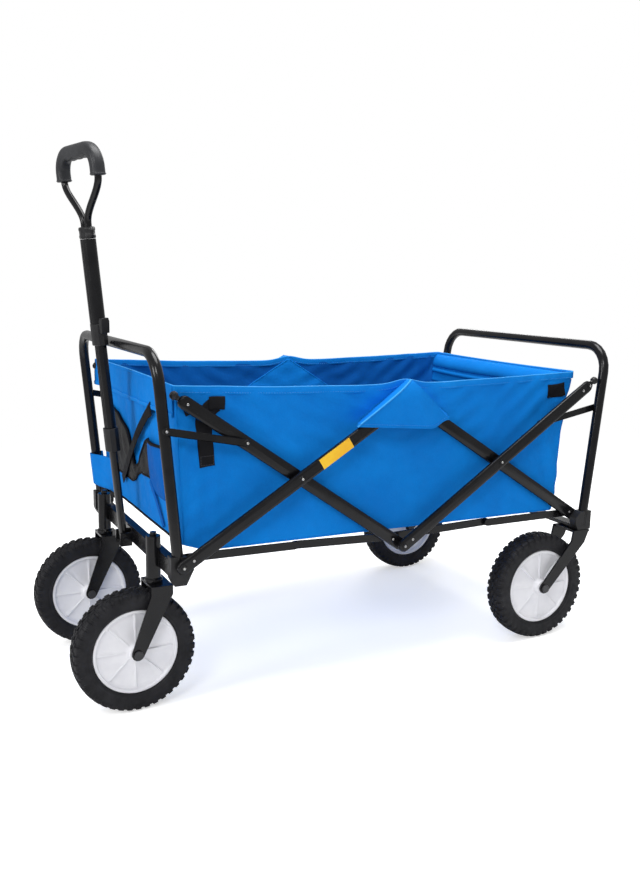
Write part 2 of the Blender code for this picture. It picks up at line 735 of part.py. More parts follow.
def hinge_bolt():
    """Bolt across the clevis; its heads are sunk slightly into the ears."""
    inside = EAR_X[1] - 0.0002
    outside = inside + HINGE_HEAD
    steps = [(-outside, HINGE_HEAD_RADIUS), (-inside, HINGE_HEAD_RADIUS), (-inside, HINGE_BOLT_RADIUS)]
    steps += [(inside, HINGE_BOLT_RADIUS), (inside, HINGE_HEAD_RADIUS), (outside, HINGE_HEAD_RADIUS)]
    return rod((0.0, HANDLE_Y, HANDLE_Z), (1, 0, 0), steps, 12)


def low_tube():
    """Lowest tube, drilled for the hinge bolt along world x."""
    body = upright(flat_oval(*LOW_SECTION), *LOW_TUBE)
    body.transform(handle_matrix())
    reach = EAR_X[1]
    return cut(body, cylinder_x((HANDLE_Y, HANDLE_Z), HINGE_HOLE_RADIUS, -reach, reach, 12))


def upper_tube():
    """Outer tube with a groove between two ribs; it slides down over the middle tube."""
    low, high = UPPER_TUBE
    body = upright(twin_section(*UPPER_SECTION, UPPER_GROOVE), low, high)
    bore = upright(flat_oval(*wider(MIDDLE_SECTION, SLIDE_GAP)), low - 0.01, high + 0.01)
    return cut(body, bore)


def loop_path():
    """Teardrop loop in the handle's x, s plane, from one foot round the top to the other."""
    start = LOOP_FOOT + 0.004
    half = [(LOOP_FOOT_X, LOOP_FOOT), (LOOP_FOOT_X, start)]
    steps = 7
    for i in range(1, steps + 1):
        t = i / steps
        ease = t * t * (3 - 2 * t)
        x = LOOP_FOOT_X + (LOOP_HALF_WIDTH - LOOP_FOOT_X) * ease
        half.append((x, start + (LOOP_SHOULDER - start) * t))
    corner = (LOOP_HALF_WIDTH - LOOP_CORNER_RADIUS, LOOP_TOP - LOOP_CORNER_RADIUS)
    half += arc(corner, LOOP_CORNER_RADIUS, 0.0, math.pi / 2, 6)
    return [(x, 0.0, s) for x, s in half + [(-x, s) for x, s in reversed(half)]]


def loop_tube():
    return tube_along(loop_path(), circle(LOOP_TUBE_RADIUS, 12), (0, 1, 0))


def grip():
    """Moulded grip over the top of the loop, open at both ends."""
    path = [p for p in loop_path() if p[2] > GRIP_LOW]
    outer = [(a * 0.92, b) for a, b in circle(GRIP_RADIUS, 12)]
    inner = circle(LOOP_TUBE_RADIUS + GRIP_GAP, 12)
    return hollow_along(path, outer, inner, (0, 1, 0))


def top_collar():
    """Collar between the upper tube and the loop, with a lobe at each side."""
    section = []
    for x, y in flat_oval(*TOP_COLLAR_SECTION, 5):
        section.append((x * (1.0 + 0.10 * math.cos(4 * math.atan2(y, x))), y))
    return upright(section, *TOP_COLLAR)


def clamp_lever():
    """Block lever on the side of the clamp; it turns about a pin near its lower end."""
    low, high = LEVER_PIVOT[2] - LEVER_FOOT, LEVER_TOP
    inner, outer = LEVER_X
    rows = [
        (low, inner, outer - 0.003, LEVER_HALF_DEPTH - 0.0005),
        (high - 0.006, inner, outer, LEVER_HALF_DEPTH),
        (high, inner + 0.002, outer - 0.0005, LEVER_HALF_DEPTH - 0.001),
    ]
    return loft([[(a, -d, s), (b, -d, s), (b, d, s), (a, d, s)] for s, a, b, d in rows])


# ---------------------------------------------------------------- soft goods
def inset_outline(outline, distance):
    """The same outline moved inwards by a distance, for a polygon that runs anticlockwise."""
    count = len(outline)
    moved = []
    for i, point in enumerate(outline):
        before, after = outline[i - 1], outline[(i + 1) % count]
        first = Vector((point[0] - before[0], point[1] - before[1])).normalized()
        second = Vector((after[0] - point[0], after[1] - point[1])).normalized()
        inward = Vector((-first.y - second.y, first.x + second.x)).normalized()
        scale = distance / max(inward.dot(Vector((-first.y, first.x))), 0.3)
        moved.append((point[0] + inward.x * scale, point[1] + inward.y * scale))
    return moved


def basket():
    """Open-topped fabric basket with the true outer shape."""
    outside = prism_x(BASKET_OUTLINE, -BASKET_HALF_WIDTH, BASKET_HALF_WIDTH)
    inner = inset_outline(BASKET_OUTLINE, BASKET_WALL)
    lifted = [(y, z if z < BASKET_TOP_Z - 0.01 else BASKET_TOP_Z + 0.01) for y, z in inner]
    reach = BASKET_HALF_WIDTH - BASKET_WALL
    return cut(outside, prism_x(lifted, -reach, reach))


def base_board():
    return box((-BOARD_HALF[0], -BOARD_HALF[1], BOARD_Z[0]), (BOARD_HALF[0], BOARD_HALF[1], BOARD_Z[1]))


# ---------------------------------------------------------------- assembly
def build_front_frame():
    piece("front_frame_tube", frame_tube(-1, FRONT_POST_X), BLACK_PAINT)
    both_sides("front_foot", front_foot, BLACK_PLASTIC)
    piece("front_crossbar", front_crossbar(), BLACK_PAINT)
    piece("handle_bracket", handle_bracket(), BLACK_PAINT)


def build_rear_frame():
    origin = (0.0, *mirror_y(FOOT_PIVOT))
    piece("rear_frame_tube", frame_tube(1, REAR_POST_X), BLACK_PAINT, origin)
    both_sides("rear_foot", rear_foot, BLACK_PLASTIC, (REAR_POST_X, *mirror_y(FOOT_PIVOT)))
    piece("rear_crossbar", rear_crossbar(), BLACK_PAINT, origin)


def build_scissors():
    foot, crossing = FOOT_PIVOT, CROSSING
    rear_foot_pivot, rear_crossing = mirror_y(FOOT_PIVOT), mirror_y(CROSSING)
    outer_x, inner_x = sum(OUTER_LAYER) / 2, sum(INNER_LAYER) / 2
    end = bar_end()
    both_sides(
        "front_outer_bar",
        lambda: outer_bar(foot, TOP_PIVOT, [foot, crossing, TOP_PIVOT], [crossing, TOP_PIVOT]),
        BLACK_PAINT,
        (outer_x, *foot),
    )
    both_sides(
        "front_inner_bar",
        lambda: inner_bar(LOW_PIVOT, end, [TIP_RIVET]),
        BLACK_PAINT,
        (inner_x, *crossing),
    )
    rear_pivots = [LOW_PIVOT, rear_crossing]
    both_sides(
        "rear_outer_bar",
        lambda: outer_bar(LOW_PIVOT, mirror_y(end), rear_pivots + [mirror_y(TIP_RIVET)], rear_pivots),
        BLACK_PAINT,
        (outer_x, *LOW_PIVOT),
    )
    both_sides(
        "rear_inner_bar",
        lambda: inner_bar(TOP_PIVOT, rear_foot_pivot, []),
        BLACK_PAINT,
        (inner_x, *rear_crossing),
    )
    both_sides("front_corner_tip", lambda: corner_tip(INNER_LAYER), BLACK_PLASTIC, (inner_x, *crossing))
    both_sides(
        "rear_corner_tip",
        lambda: mirrored_y(corner_tip(OUTER_LAYER)),
        BLACK_PLASTIC,
        (outer_x, *LOW_PIVOT),
    )
    both_sides("front_link", front_link, BLACK_PAINT, (outer_x, *LINK_POST_PIVOT))
    both_sides("rear_link", rear_link, BLACK_PAINT, (inner_x, *mirror_y(LINK_POST_PIVOT)))


def build_rails():
    foot, knee, middle = RAIL_FOOT, RAIL_KNEE, RAIL_MIDDLE
    halves = [
        ("rail_front_foot", foot, knee, RAIL_FOOT_X, foot),
        ("rail_front_middle", knee, middle, RAIL_FRONT_MIDDLE_X, middle),
        ("rail_rear_middle", middle, mirror_y(knee), RAIL_REAR_MIDDLE_X, middle),
        ("rail_rear_foot", mirror_y(knee), mirror_y(foot), RAIL_FOOT_X, mirror_y(foot)),
    ]
    for name, start, end, outer_x, pivot in halves:
        both_sides(name, lambda: rail(start, end, outer_x), BLACK_PAINT, (outer_x, *pivot))


def build_wheels():
    for name, side in (("left", 1), ("right", -1)):
        caster(name, side * CASTER_X)
        rear_wheel(name, side * REAR_WHEEL_X)


def build_handle():
    piece("handle_low_tube", low_tube(), BLACK_PAINT, (0.0, HANDLE_Y, HANDLE_Z))
    collar = sleeve(LOW_COLLAR_SECTION, wider(LOW_SECTION, SLIDE_GAP), *LOW_COLLAR)
    handle_piece("handle_low_collar", collar, BLACK_PLASTIC)
    inner = (MIDDLE_SECTION[0] - 2 * TUBE_WALL, MIDDLE_SECTION[1] - 2 * TUBE_WALL)
    handle_piece("handle_middle_tube", sleeve(MIDDLE_SECTION, inner, *MIDDLE_TUBE), BLACK_PAINT)
    clamp = sleeve(CLAMP_SECTION, wider(MIDDLE_SECTION, SLIDE_GAP), *CLAMP)
    handle_piece("handle_clamp", clamp, BLACK_PLASTIC)
    lever = clamp_lever()
    lever.transform(handle_matrix())
    piece("handle_clamp_lever", lever, BLACK_PLASTIC, handle_matrix() @ Vector(LEVER_PIVOT))
    handle_piece("handle_upper_tube", upper_tube(), BLACK_PAINT)
    handle_piece("handle_top_collar", top_collar(), BLACK_PLASTIC)
    handle_piece("handle_loop", loop_tube(), BLACK_PAINT)
    handle_piece("handle_grip", grip(), GREY_PLASTIC)


def build_soft_goods():
    piece("basket", basket(), BLUE_FABRIC)
    piece("base_board", base_board(), BOARD_BLACK)


def clear_scene():
    for old in list(bpy.data.objects):
        bpy.data.objects.remove(old)


clear_scene()
build_front_frame()
build_rear_frame()
build_scissors()
build_rails()
build_wheels()
build_handle()
build_soft_goods()
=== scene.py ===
"""Looks of a folding beach cart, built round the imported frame.

Units are metres, +Z is up and the pull handle is towards -Y. The fabric, tyres, hubs, label, rivet heads
and the handle's upper tubes, collar, loop and grip are modelled here. The other parts keep their CAD shape,
with rounded edges and their own materials. Shapes are worked out in the side frame's own space, in which the
two end frames mirror each other about y = 0, and piece() puts each one where the cart stands with STANCE.
"""

import json
import math

import bmesh
import bpy
import numpy as np
from mathutils import Matrix, Vector, noise


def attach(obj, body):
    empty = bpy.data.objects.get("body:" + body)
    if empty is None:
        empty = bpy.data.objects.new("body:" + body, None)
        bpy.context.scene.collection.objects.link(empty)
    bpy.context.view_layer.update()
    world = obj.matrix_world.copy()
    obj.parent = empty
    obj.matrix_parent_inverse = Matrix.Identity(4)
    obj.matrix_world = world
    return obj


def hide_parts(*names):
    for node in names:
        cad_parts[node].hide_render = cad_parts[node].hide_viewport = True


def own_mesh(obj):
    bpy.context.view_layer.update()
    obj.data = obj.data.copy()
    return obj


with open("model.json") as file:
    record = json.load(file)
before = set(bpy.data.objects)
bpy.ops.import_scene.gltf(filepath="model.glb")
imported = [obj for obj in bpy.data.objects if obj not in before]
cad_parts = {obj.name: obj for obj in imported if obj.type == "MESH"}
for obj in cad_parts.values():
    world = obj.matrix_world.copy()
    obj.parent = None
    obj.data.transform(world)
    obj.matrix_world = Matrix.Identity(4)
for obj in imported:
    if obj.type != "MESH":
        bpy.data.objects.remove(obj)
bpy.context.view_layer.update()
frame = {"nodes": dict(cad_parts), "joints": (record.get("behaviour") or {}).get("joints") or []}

# ---------------------------------------------------------------- places taken from the frame
MM = 0.001
UP = Vector((0, 0, 1))
AHEAD = Vector((0, -1, 0))
SIDEWAYS = Vector((1, 0, 0))
SIDES = (("left", 1), ("right", -1))
JOINTS = {joint["name"]: joint for joint in frame["joints"]}

LOW_PIVOT_Z = 0.2246             # height of the bottom centre pivot in the side frame's space
SWIVEL = Vector(JOINTS["caster_swivel_left"]["axis"])
TURN = Matrix.Rotation(-math.atan2(SWIVEL.y, SWIVEL.z), 4, "X")
LOW_PIVOT = Vector(JOINTS["bottom_centre"]["pos_m"])
STANCE = Matrix.Translation(LOW_PIVOT - TURN @ Vector((0.0, 0.0, LOW_PIVOT_Z))) @ TURN


def joint_at(name):
    """A joint's position in the side frame's space."""
    return STANCE.inverted() @ Vector(JOINTS[name]["pos_m"])


def joint_axis(name):
    return (TURN.inverted().to_3x3() @ Vector(JOINTS[name]["axis"])).normalized()


def node_box(name):
    """Lowest and highest corners of a CAD node in the side frame's space."""
    inverse = STANCE.inverted()
    corners = np.array([inverse @ v.co for v in frame["nodes"][name].data.vertices])
    return Vector(corners.min(0)), Vector(corners.max(0))


FRONT_FOOT = joint_at("fold")
FRONT_CROSSING = joint_at("front_crossing")
LOW_CENTRE = Vector((0.0, 0.0, LOW_PIVOT_Z))
REAR_CROSSING = joint_at("rear_crossing")
REAR_FOOT = joint_at("rear_foot_pivot")
TOP_CENTRE = 2 * FRONT_CROSSING - FRONT_FOOT
INNER_BAR_FACE = node_box("rear_inner_bar_left")[1].x
OUTER_BAR_RIVET_FACE = node_box("front_outer_bar_left")[1].x
OUTER_BAR_FACE = OUTER_BAR_RIVET_FACE - 1.6 * MM     # the CAD bar's own rivet heads stand this far out

# ---------------------------------------------------------------- fabric basket dimensions
WALL_X = node_box("basket")[1].x - 2.5 * MM
FLOOR_Z = node_box("basket")[0].z + 1.6 * MM
TOP_Z = node_box("basket")[1].z
CLOTH = 1.2 * MM
FRONT_BOTTOM_Y, FRONT_TOP_Y = -0.3930, -0.4050
REAR_EDGE_Y = 0.3595
FRONT_SLOPE_Y = -0.350           # the floor starts to rise to the front edge 8 mm ahead of here
CORNER = 10 * MM
HEM_HEIGHT = 11 * MM
APEX_Y = 4 * MM                  # where the flaps and the top edge peak, over the middle pivots


# ---------------------------------------------------------------- node material helpers
def new_look(name, colour, roughness, metallic=0.0):
    look = bpy.data.materials.new(name)
    look.use_nodes = True
    shader = shader_of(look)
    shader.inputs["Base Color"].default_value = (*colour, 1.0)
    shader.inputs["Roughness"].default_value = roughness
    shader.inputs["Metallic"].default_value = metallic
    return look


def shader_of(look):
    return look.node_tree.nodes["Principled BSDF"]


def node(owner, kind, settings=None, **inputs):
    """A new node with some properties set, and some inputs given as values or as sockets to link."""
    made = owner.node_tree.nodes.new(kind)
    for key, value in (settings or {}).items():
        setattr(made, key, value)
    for key, value in inputs.items():
        place = made.inputs[int(key[1:]) if key[1:].isdigit() else key.replace("_", " ")]
        if isinstance(value, bpy.types.NodeSocket):
            owner.node_tree.links.new(value, place)
        else:
            place.default_value = value
    return made


def feed(look, socket, name):
    """Link a socket to an input of the look's shader."""
    look.node_tree.links.new(socket, shader_of(look).inputs[name])


def show(look, shader):
    """Link a shader to the look's surface."""
    look.node_tree.links.new(shader.outputs[0], look.node_tree.nodes["Material Output"].inputs["Surface"])


def place_of(look):
    return node(look, "ShaderNodeTexCoord").outputs["Object"]


def noise_of(look, scale, detail=4.0):
    inputs = {"Vector": place_of(look), "Scale": scale, "Detail": detail, "Roughness": 0.55}
    return node(look, "ShaderNodeTexNoise", **inputs).outputs["Fac"]


def math_of(look, operation, first, second=0.0):
    return node(look, "ShaderNodeMath", {"operation": operation}, i0=first, i1=second).outputs[0]


def spread(look, fac, low, high, start=0.35, end=0.65):
    """A 0..1 noise value stretched to run from low to high."""
    inputs = {"Value": fac, "From_Min": start, "From_Max": end, "To_Min": low, "To_Max": high}
    return node(look, "ShaderNodeMapRange", **inputs).outputs[0]


def two_colours(look, fac, first, second):
    made = node(look, "ShaderNodeMix", {"data_type": "RGBA"}, i0=fac, i6=(*first, 1.0), i7=(*second, 1.0))
    return made.outputs[2]


def bump(look, height, strength, distance, **more):
    made = node(look, "ShaderNodeBump", Height=height, Strength=strength, Distance=distance, **more)
    return made.outputs[0]


def weave_of(look, period):
    """Height of a plain weave with its threads along the object's axes."""
    scaled = node(look, "ShaderNodeVectorMath", {"operation": "SCALE"}, i0=place_of(look))
    scaled.inputs["Scale"].default_value = 2 * math.pi / period
    parts = node(look, "ShaderNodeSeparateXYZ", Vector=scaled.outputs[0])
    waves = [math_of(look, "COSINE", parts.outputs[i]) for i in range(3)]
    total = math_of(look, "ADD", math_of(look, "ADD", waves[0], waves[1]), waves[2])
    return math_of(look, "MULTIPLY", total, 1 / 3)


# ---------------------------------------------------------------- materials
def hard_look(name, colours, patches, roughness, grain=None, specular=0.5, metallic=0.0, span=(0.35, 0.65)):
    """Paint, plastic, rubber or metal whose colour and roughness vary in soft patches, with a fine grain.

    patches is (noise scale, detail), roughness is (noise scale, lowest, highest) and grain is (noise scale,
    detail, strength, depth). span is the part of the noise over which the colour changes.
    """
    look = new_look(name, colours[0], roughness[1], metallic)
    share = spread(look, noise_of(look, *patches), 0, 1, *span)
    feed(look, two_colours(look, share, *colours), "Base Color")
    feed(look, spread(look, noise_of(look, roughness[0]), *roughness[1:]), "Roughness")
    if grain:
        scale, detail, strength, depth = grain
        feed(look, bump(look, noise_of(look, scale, detail), strength, depth), "Normal")
    shader_of(look).inputs["Specular IOR Level"].default_value = specular
    return look


def plastic_look(name, colour, roughness, grain):
    """Moulded plastic with a spark-eroded grain."""
    lighter = tuple(min(c * 1.3 + 0.002, 0.9) for c in colour)
    return hard_look(name, (colour, lighter), (35.0, 4.0), (90.0, roughness - 0.06, roughness + 0.06),
                     (1100.0, 3.0, grain, 0.0004), 0.32)


def fabric_look(name, light, dark, period=1.15 * MM, roughness=0.78):
    """Woven polyester: plain weave, slubs in the threads, soft puckers, slightly uneven dye, and painted
    shade in the low parts of the weave.
    """
    look = new_look(name, light, roughness)
    weave = weave_of(look, period)
    slubs = math_of(look, "MULTIPLY", noise_of(look, 420.0, 2.0), 0.35)
    uneven = math_of(look, "ADD", noise_of(look, 9.0, 5.0), slubs)
    shade = spread(look, uneven, 0, 1, 0.45, 0.90)
    # Darker where the weave is low: painted shade between the threads.
    threads = math_of(look, "MULTIPLY", math_of(look, "SUBTRACT", 1.0, weave), 0.12)
    feed(look, two_colours(look, math_of(look, "ADD", shade, threads), light, dark), "Base Color")
    feed(look, spread(look, noise_of(look, 80.0), roughness - 0.07, roughness + 0.07), "Roughness")
    puckers = bump(look, noise_of(look, 38.0), 0.42, 0.0026)
    feed(look, bump(look, weave, 0.35, 0.00022, Normal=puckers), "Normal")
    shader_of(look).inputs["Specular IOR Level"].default_value = 0.09
    return look


def netting_look():
    """Black netting: dark threads round small holes that show what is behind."""
    look = new_look("black_netting", (0.005, 0.005, 0.006), 0.75)
    weave = weave_of(look, 2.6 * MM)
    holes = spread(look, weave, 0.0, 0.62, 0.30, 0.55)
    clear = node(look, "ShaderNodeBsdfTransparent")
    mixed = node(look, "ShaderNodeMixShader", i0=holes, i1=shader_of(look).outputs[0], i2=clear.outputs[0])
    show(look, mixed)
    feed(look, bump(look, weave, 0.5, 0.0004), "Normal")
    return look


PAINT = hard_look("black_powder_coat", ((0.0035, 0.0035, 0.0045), (0.007, 0.007, 0.008)), (22.0, 4.0),
                  (60.0, 0.15, 0.25), (1400.0, 2.0, 0.08, 0.0004), 0.28)
PLASTIC = plastic_look("black_plastic", (0.008, 0.008, 0.009), 0.42, 0.20)
GRIP = plastic_look("grip_soft_plastic", (0.020, 0.021, 0.024), 0.42, 0.45)
ZINC = hard_look("zinc_plate", ((0.30, 0.30, 0.32), (0.52, 0.52, 0.50)), (300.0, 4.0), (500.0, 0.24, 0.42),
                 metallic=1.0)
BOLT = plastic_look("dark_bolt", (0.030, 0.030, 0.032), 0.35, 0.05)
RUBBER = hard_look("tyre_rubber", ((0.007, 0.007, 0.009), (0.017, 0.017, 0.020)), (28.0, 6.0),
                   (120.0, 0.48, 0.68), (900.0, 3.0, 0.22, 0.0005), 0.24, span=(0.42, 0.72))
HUB = hard_look("hub_white", ((0.73, 0.73, 0.77), (0.79, 0.79, 0.825)), (30.0, 4.0), (140.0, 0.30, 0.44),
                (700.0, 2.0, 0.06, 0.0004))
BLUE = fabric_look("blue_fabric", (0.0030, 0.215, 0.690), (0.0022, 0.165, 0.575))
# Darker copy of the blue fabric: painted shade, used on the basket's inner faces, the front pocket and the
# front tape.
BLUE_PAINTED_SHADE = fabric_look("blue_fabric_painted_shade", (0.0022, 0.118, 0.460), (0.0016, 0.088, 0.370))
# Slightly lighter copy of the blue fabric for hems, rolled edges and seams: painted highlight where they
# catch the light.
BLUE_HEM_HIGHLIGHT = fabric_look("blue_hem_painted_highlight", (0.0050, 0.235, 0.730), (0.0032, 0.182, 0.615))
# Pale blue for thin tubes along the top edge and along the flaps' folded front edges: painted highlight.
BLUE_EDGE_HIGHLIGHT = fabric_look("blue_edge_painted_highlight", (0.060, 0.360, 0.800), (0.040, 0.300, 0.740), roughness=0.60)
NETTING = netting_look()
WEBBING = fabric_look("black_webbing", (0.005, 0.005, 0.006), (0.010, 0.010, 0.012), 1.6 * MM, 0.66)
BOARD = fabric_look("board_cover", (0.020, 0.021, 0.024), (0.034, 0.035, 0.038), 1.4 * MM)
THREAD = new_look("blue_thread", (0.006, 0.215, 0.640), 0.60)
THREAD_BLACK = new_look("black_thread", (0.040, 0.041, 0.045), 0.60)
LABEL = plastic_look("label_yellow", (0.820, 0.420, 0.020), 0.42, 0.04)


# ---------------------------------------------------------------- mesh helpers
def cloth_noise(x, y, z, scale, seed=0.0):
    """Smooth noise of about -1 to 1 at a point."""
    return noise.noise(Vector((x * scale + seed, y * scale + 1.7 * seed, z * scale - 0.9 * seed)))


def smooth_step(value, low, high):
    t = min(max((value - low) / (high - low), 0.0), 1.0)
    return t * t * (3 - 2 * t)


def sheet(across, along, point):
    """Rows of points over a patch, where point(s, t) takes two shares from 0 to 1."""
    return [[point(i / across, j / along) for j in range(along + 1)] for i in range(across + 1)]


def grid_mesh(rows, closed_across=False, closed_along=False):
    """Vertices and quads of a grid given as rows of points."""
    count = len(rows[0])
    verts = [p for row in rows for p in row]
    faces = []
    for j in range(len(rows) - (0 if closed_along else 1)):
        k = (j + 1) % len(rows)
        for i in range(count - (0 if closed_across else 1)):
            m = (i + 1) % count
            faces.append((j * count + i, j * count + m, k * count + m, k * count + i))
    return verts, faces


def flipped(verts, faces):
    return verts, [tuple(reversed(face)) for face in faces]


def rings(rows, closed=False):
    """Surface through closed rings of points: joined end to end if closed, and otherwise with end faces."""
    verts, faces = grid_mesh(rows, closed_across=True, closed_along=closed)
    if not closed:
        count = len(rows[0])
        faces += [tuple(reversed(range(count))), tuple(range(len(verts) - count, len(verts)))]
    return verts, faces


def merged(parts):
    """One mesh from several (verts, faces) parts."""
    verts, faces = [], []
    for some_verts, some_faces in parts:
        base = len(verts)
        verts += list(some_verts)
        faces += [tuple(base + i for i in face) for face in some_faces]
    return verts, faces


def piece(name, verts, faces, look, body, slot, sharp=40.0, repair=True, instead_of=None):
    """A mesh object that rides on a body, and may take a CAD node's place."""
    mesh = bpy.data.meshes.new(name)
    mesh.from_pydata([tuple(STANCE @ Vector(v)) for v in verts], [], faces)
    if repair:
        bm = bmesh.new()
        bm.from_mesh(mesh)
        bmesh.ops.recalc_face_normals(bm, faces=bm.faces)
        bm.to_mesh(mesh)
        bm.free()
    mesh.shade_smooth()
    mesh.set_sharp_from_angle(angle=math.radians(sharp))
    mesh.materials.append(look)
    made = bpy.data.objects.new(name, mesh)
    bpy.context.scene.collection.objects.link(made)
    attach(made, body)
    if instead_of:
        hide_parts(instead_of)
    return made


def sweep(points, outs, ups, section, closed=False):
    """Section (out, up) points carried along a path with its own out and up directions."""
    rows = [[p + out * a + up * b for a, b in section] for p, out, up in zip(points, outs, ups)]
    return rings(rows, closed)


def rounded_section(out_low, out_high, up_low, up_high, radius, steps=3):
    """Rounded rectangle as (out, up) points."""
    corners = ((out_high - radius, up_high - radius), (out_low + radius, up_high - radius),
               (out_low + radius, up_low + radius), (out_high - radius, up_low + radius))
    points = []
    for quarter, (a, b) in enumerate(corners):
        for i in range(steps + 1):
            turn = math.radians(90.0 * (quarter + i / steps))
            points.append((a + radius * math.cos(turn), b + radius * math.sin(turn)))
    return points


def directions(points, up_hint, closed=False):
    """Out and up directions along a path; up stays near the hint."""
    outs, ups = [], []
    count = len(points)
    for i in range(count):
        before = points[(i - 1) % count] if closed else points[max(i - 1, 0)]
        after = points[(i + 1) % count] if closed else points[min(i + 1, count - 1)]
        way = (after - before).normalized()
        out = way.cross(up_hint).normalized()
        outs.append(out)
        ups.append(out.cross(way).normalized())
    return outs, ups


def tube(points, radius, up_hint=UP, sides=8, closed=False):
    turns = [2 * math.pi * i / sides for i in range(sides)]
    section = [(radius * math.cos(turn), radius * math.sin(turn)) for turn in turns]
    return sweep(points, *directions(points, up_hint, closed), section, closed)


def resample(points, step):
    """Points at an even spacing along a polyline."""
    lengths = [0.0]
    for a, b in zip(points, points[1:]):
        lengths.append(lengths[-1] + (b - a).length)
    count = max(2, int(round(lengths[-1] / step)) + 1)
    out, k = [], 0
    for i in range(count):
        at = lengths[-1] * i / (count - 1)
        while k < len(points) - 2 and lengths[k + 1] < at:
            k += 1
        span = max(lengths[k + 1] - lengths[k], 1e-9)
        out.append(points[k].lerp(points[k + 1], (at - lengths[k]) / span))
    return out


def smooth_line(points, steps):
    """Catmull-Rom curve through points."""
    points = [Vector(p) for p in points]
    ends = [2 * points[0] - points[1]] + points + [2 * points[-1] - points[-2]]
    out = []
    for a, b, c, d in zip(ends, ends[1:], ends[2:], ends[3:]):
        for k in range(steps):
            t = k / steps
            out.append(0.5 * (2 * b + (c - a) * t + (2 * a - 5 * b + 4 * c - d) * t * t
                              + (3 * b - a - 3 * c + d) * t ** 3))
    return out + [points[-1]]


def stitches(points, out, length=3.0 * MM, gap=1.6 * MM, radius=0.42 * MM):
    """A row of short threads along a path, standing half out of the cloth."""
    walk = resample(points, (length + gap) / 2)
    half, parts = length / 2, []
    for start, end in zip(walk[::2], walk[1::2]):
        way = (end - start).normalized()
        side = way.cross(out).normalized() * radius
        rows = []
        for along, size in ((-half, 0.35), (-half * 0.6, 1.0), (half * 0.6, 1.0), (half, 0.35)):
            lift = out * (radius * 0.9 * size)
            centre = (start + end) / 2 + way * along
            low, high = centre - lift * 0.6, centre + lift * 2.0
            rows.append([centre + lift + side * size, high, centre + lift - side * size, low])
        parts.append(rings(rows))
    return merged(parts)


# ---------------------------------------------------------------- kept CAD parts
def dress(name, look, width, segments=2):
    """Give a CAD node its material and rounded, smoothly shaded edges."""
    made = frame["nodes"][name]
    made.data.materials.clear()
    made.data.materials.append(look)
    if "custom_normal" in made.data.attributes:
        made.data.attributes.remove(made.data.attributes["custom_normal"])
    made.data.shade_smooth()
    weld = made.modifiers.new("weld", "WELD")
    weld.merge_threshold = 0.00001
    bevel = made.modifiers.new("edges", "BEVEL")
    bevel.width = width
    bevel.segments = segments
    bevel.limit_method = "ANGLE"
    bevel.angle_limit = math.radians(32)
    bevel.harden_normals = True
    bevel.use_clamp_overlap = True


def dress_all():
    painted = ["front_crossbar", "rear_crossbar", "handle_bracket", "front_frame_tube", "rear_frame_tube",
               "handle_low_tube"]
    plastic = ["handle_low_collar", "handle_clamp", "handle_clamp_lever"]
    for side, _ in SIDES:
        painted += [f"caster_fork_{side}", f"rear_fork_{side}"]
        for end in ("front", "rear"):
            painted += [f"{end}_{part}_{side}" for part in ("link", "outer_bar", "inner_bar")]
            painted += [f"rail_{end}_{part}_{side}" for part in ("foot", "middle")]
            plastic.append(f"{end}_foot_{side}")
            dress(f"axle_{end}_{side}", BOLT, 0.5 * MM)
            dress(f"{end}_corner_tip_{side}", PLASTIC, 0.8 * MM, 3)
    for name in painted:
        dress(name, PAINT, 0.7 * MM)
    for name in plastic:
        dress(name, PLASTIC, 1.0 * MM, 3)


# ---------------------------------------------------------------- wheels
LUGS = 42
# (share of a lug's pitch, whether it is at the lug's top)
LUG_STEPS = ((0.03, 1.0), (0.30, 1.0), (0.56, 1.0), (0.63, 0.0), (0.96, 0.0))
# (half width, radius) between lugs and at their tops in mm, then the stagger as a share of a lug, from the
# crown to the seat
TYRE_ROWS = (
    ((0.0, 99.2), (0.0, 101.3), 0.50),
    ((3.0, 99.2), (2.7, 101.3), 0.50),
    ((3.7, 99.2), (3.6, 99.3), 0.50),
    ((5.0, 99.1), (5.1, 99.2), 0.25),
    ((5.7, 99.1), (6.0, 101.2), 0.25),
    ((8.5, 98.9), (8.8, 101.0), 0.25),
    ((10.2, 98.8), (10.0, 100.7), 0.25),
    ((10.9, 98.7), (10.8, 98.8), 0.22),
    ((11.9, 98.5), (12.0, 98.6), 0.03),
    ((12.6, 98.3), (12.9, 100.4), 0.00),
    ((15.8, 97.3), (16.4, 99.7), 0.00),
    ((17.6, 95.7), (19.0, 98.0), 0.00),
    ((18.5, 93.8), (20.1, 95.6), 0.00),
    ((19.0, 91.6), (20.0, 93.0), 0.00),
    ((19.5, 89.8), (19.6, 90.0), 0.00),
)
# (half width, radius) of the smooth sidewall in mm
SIDEWALL = ((19.8, 86.5), (19.9, 83.0), (19.7, 79.0), (19.2, 76.4), (19.5, 75.5), (19.2, 74.1),
            (18.0, 72.2), (16.2, 70.8), (14.0, 70.3))
HUB_FAN = 8
FAN_DEPTH = 2.3 * MM
RIB_HEIGHT = 1.0 * MM
# (share of a sector, depth of the fan blade, height of the rib) round the hub's face
HUB_STEPS = ((0.00, 0.0, 1.0), (0.035, 0.0, 1.0), (0.065, 0.0, 0.0), (0.20, 0.15, 0.0), (0.38, 0.35, 0.0),
             (0.56, 0.58, 0.0), (0.74, 0.80, 0.0), (0.90, 1.0, 0.0), (0.94, 1.0, 0.0), (0.97, 0.0, 1.0))
# (radius, half width, share of the fan, share of the rib) from the bore to the rim, lengths in mm
HUB_ROWS = (
    (4.5, 24.0, 0, 0), (5.0, 24.5, 0, 0), (12.2, 24.5, 0, 0), (13.0, 23.8, 0, 0), (13.4, 16.0, 0, 0),
    (15.0, 14.2, 0, 0), (19.0, 13.6, 0.6, 0.7), (30.0, 13.0, 1, 1), (45.0, 12.4, 1, 1), (58.0, 11.9, 1, 1),
    (62.5, 11.7, 0.5, 0.4), (64.0, 11.8, 0, 0), (65.2, 15.8, 0, 0), (66.0, 16.5, 0, 0), (69.0, 16.5, 0, 0),
    (70.0, 15.7, 0, 0),
)


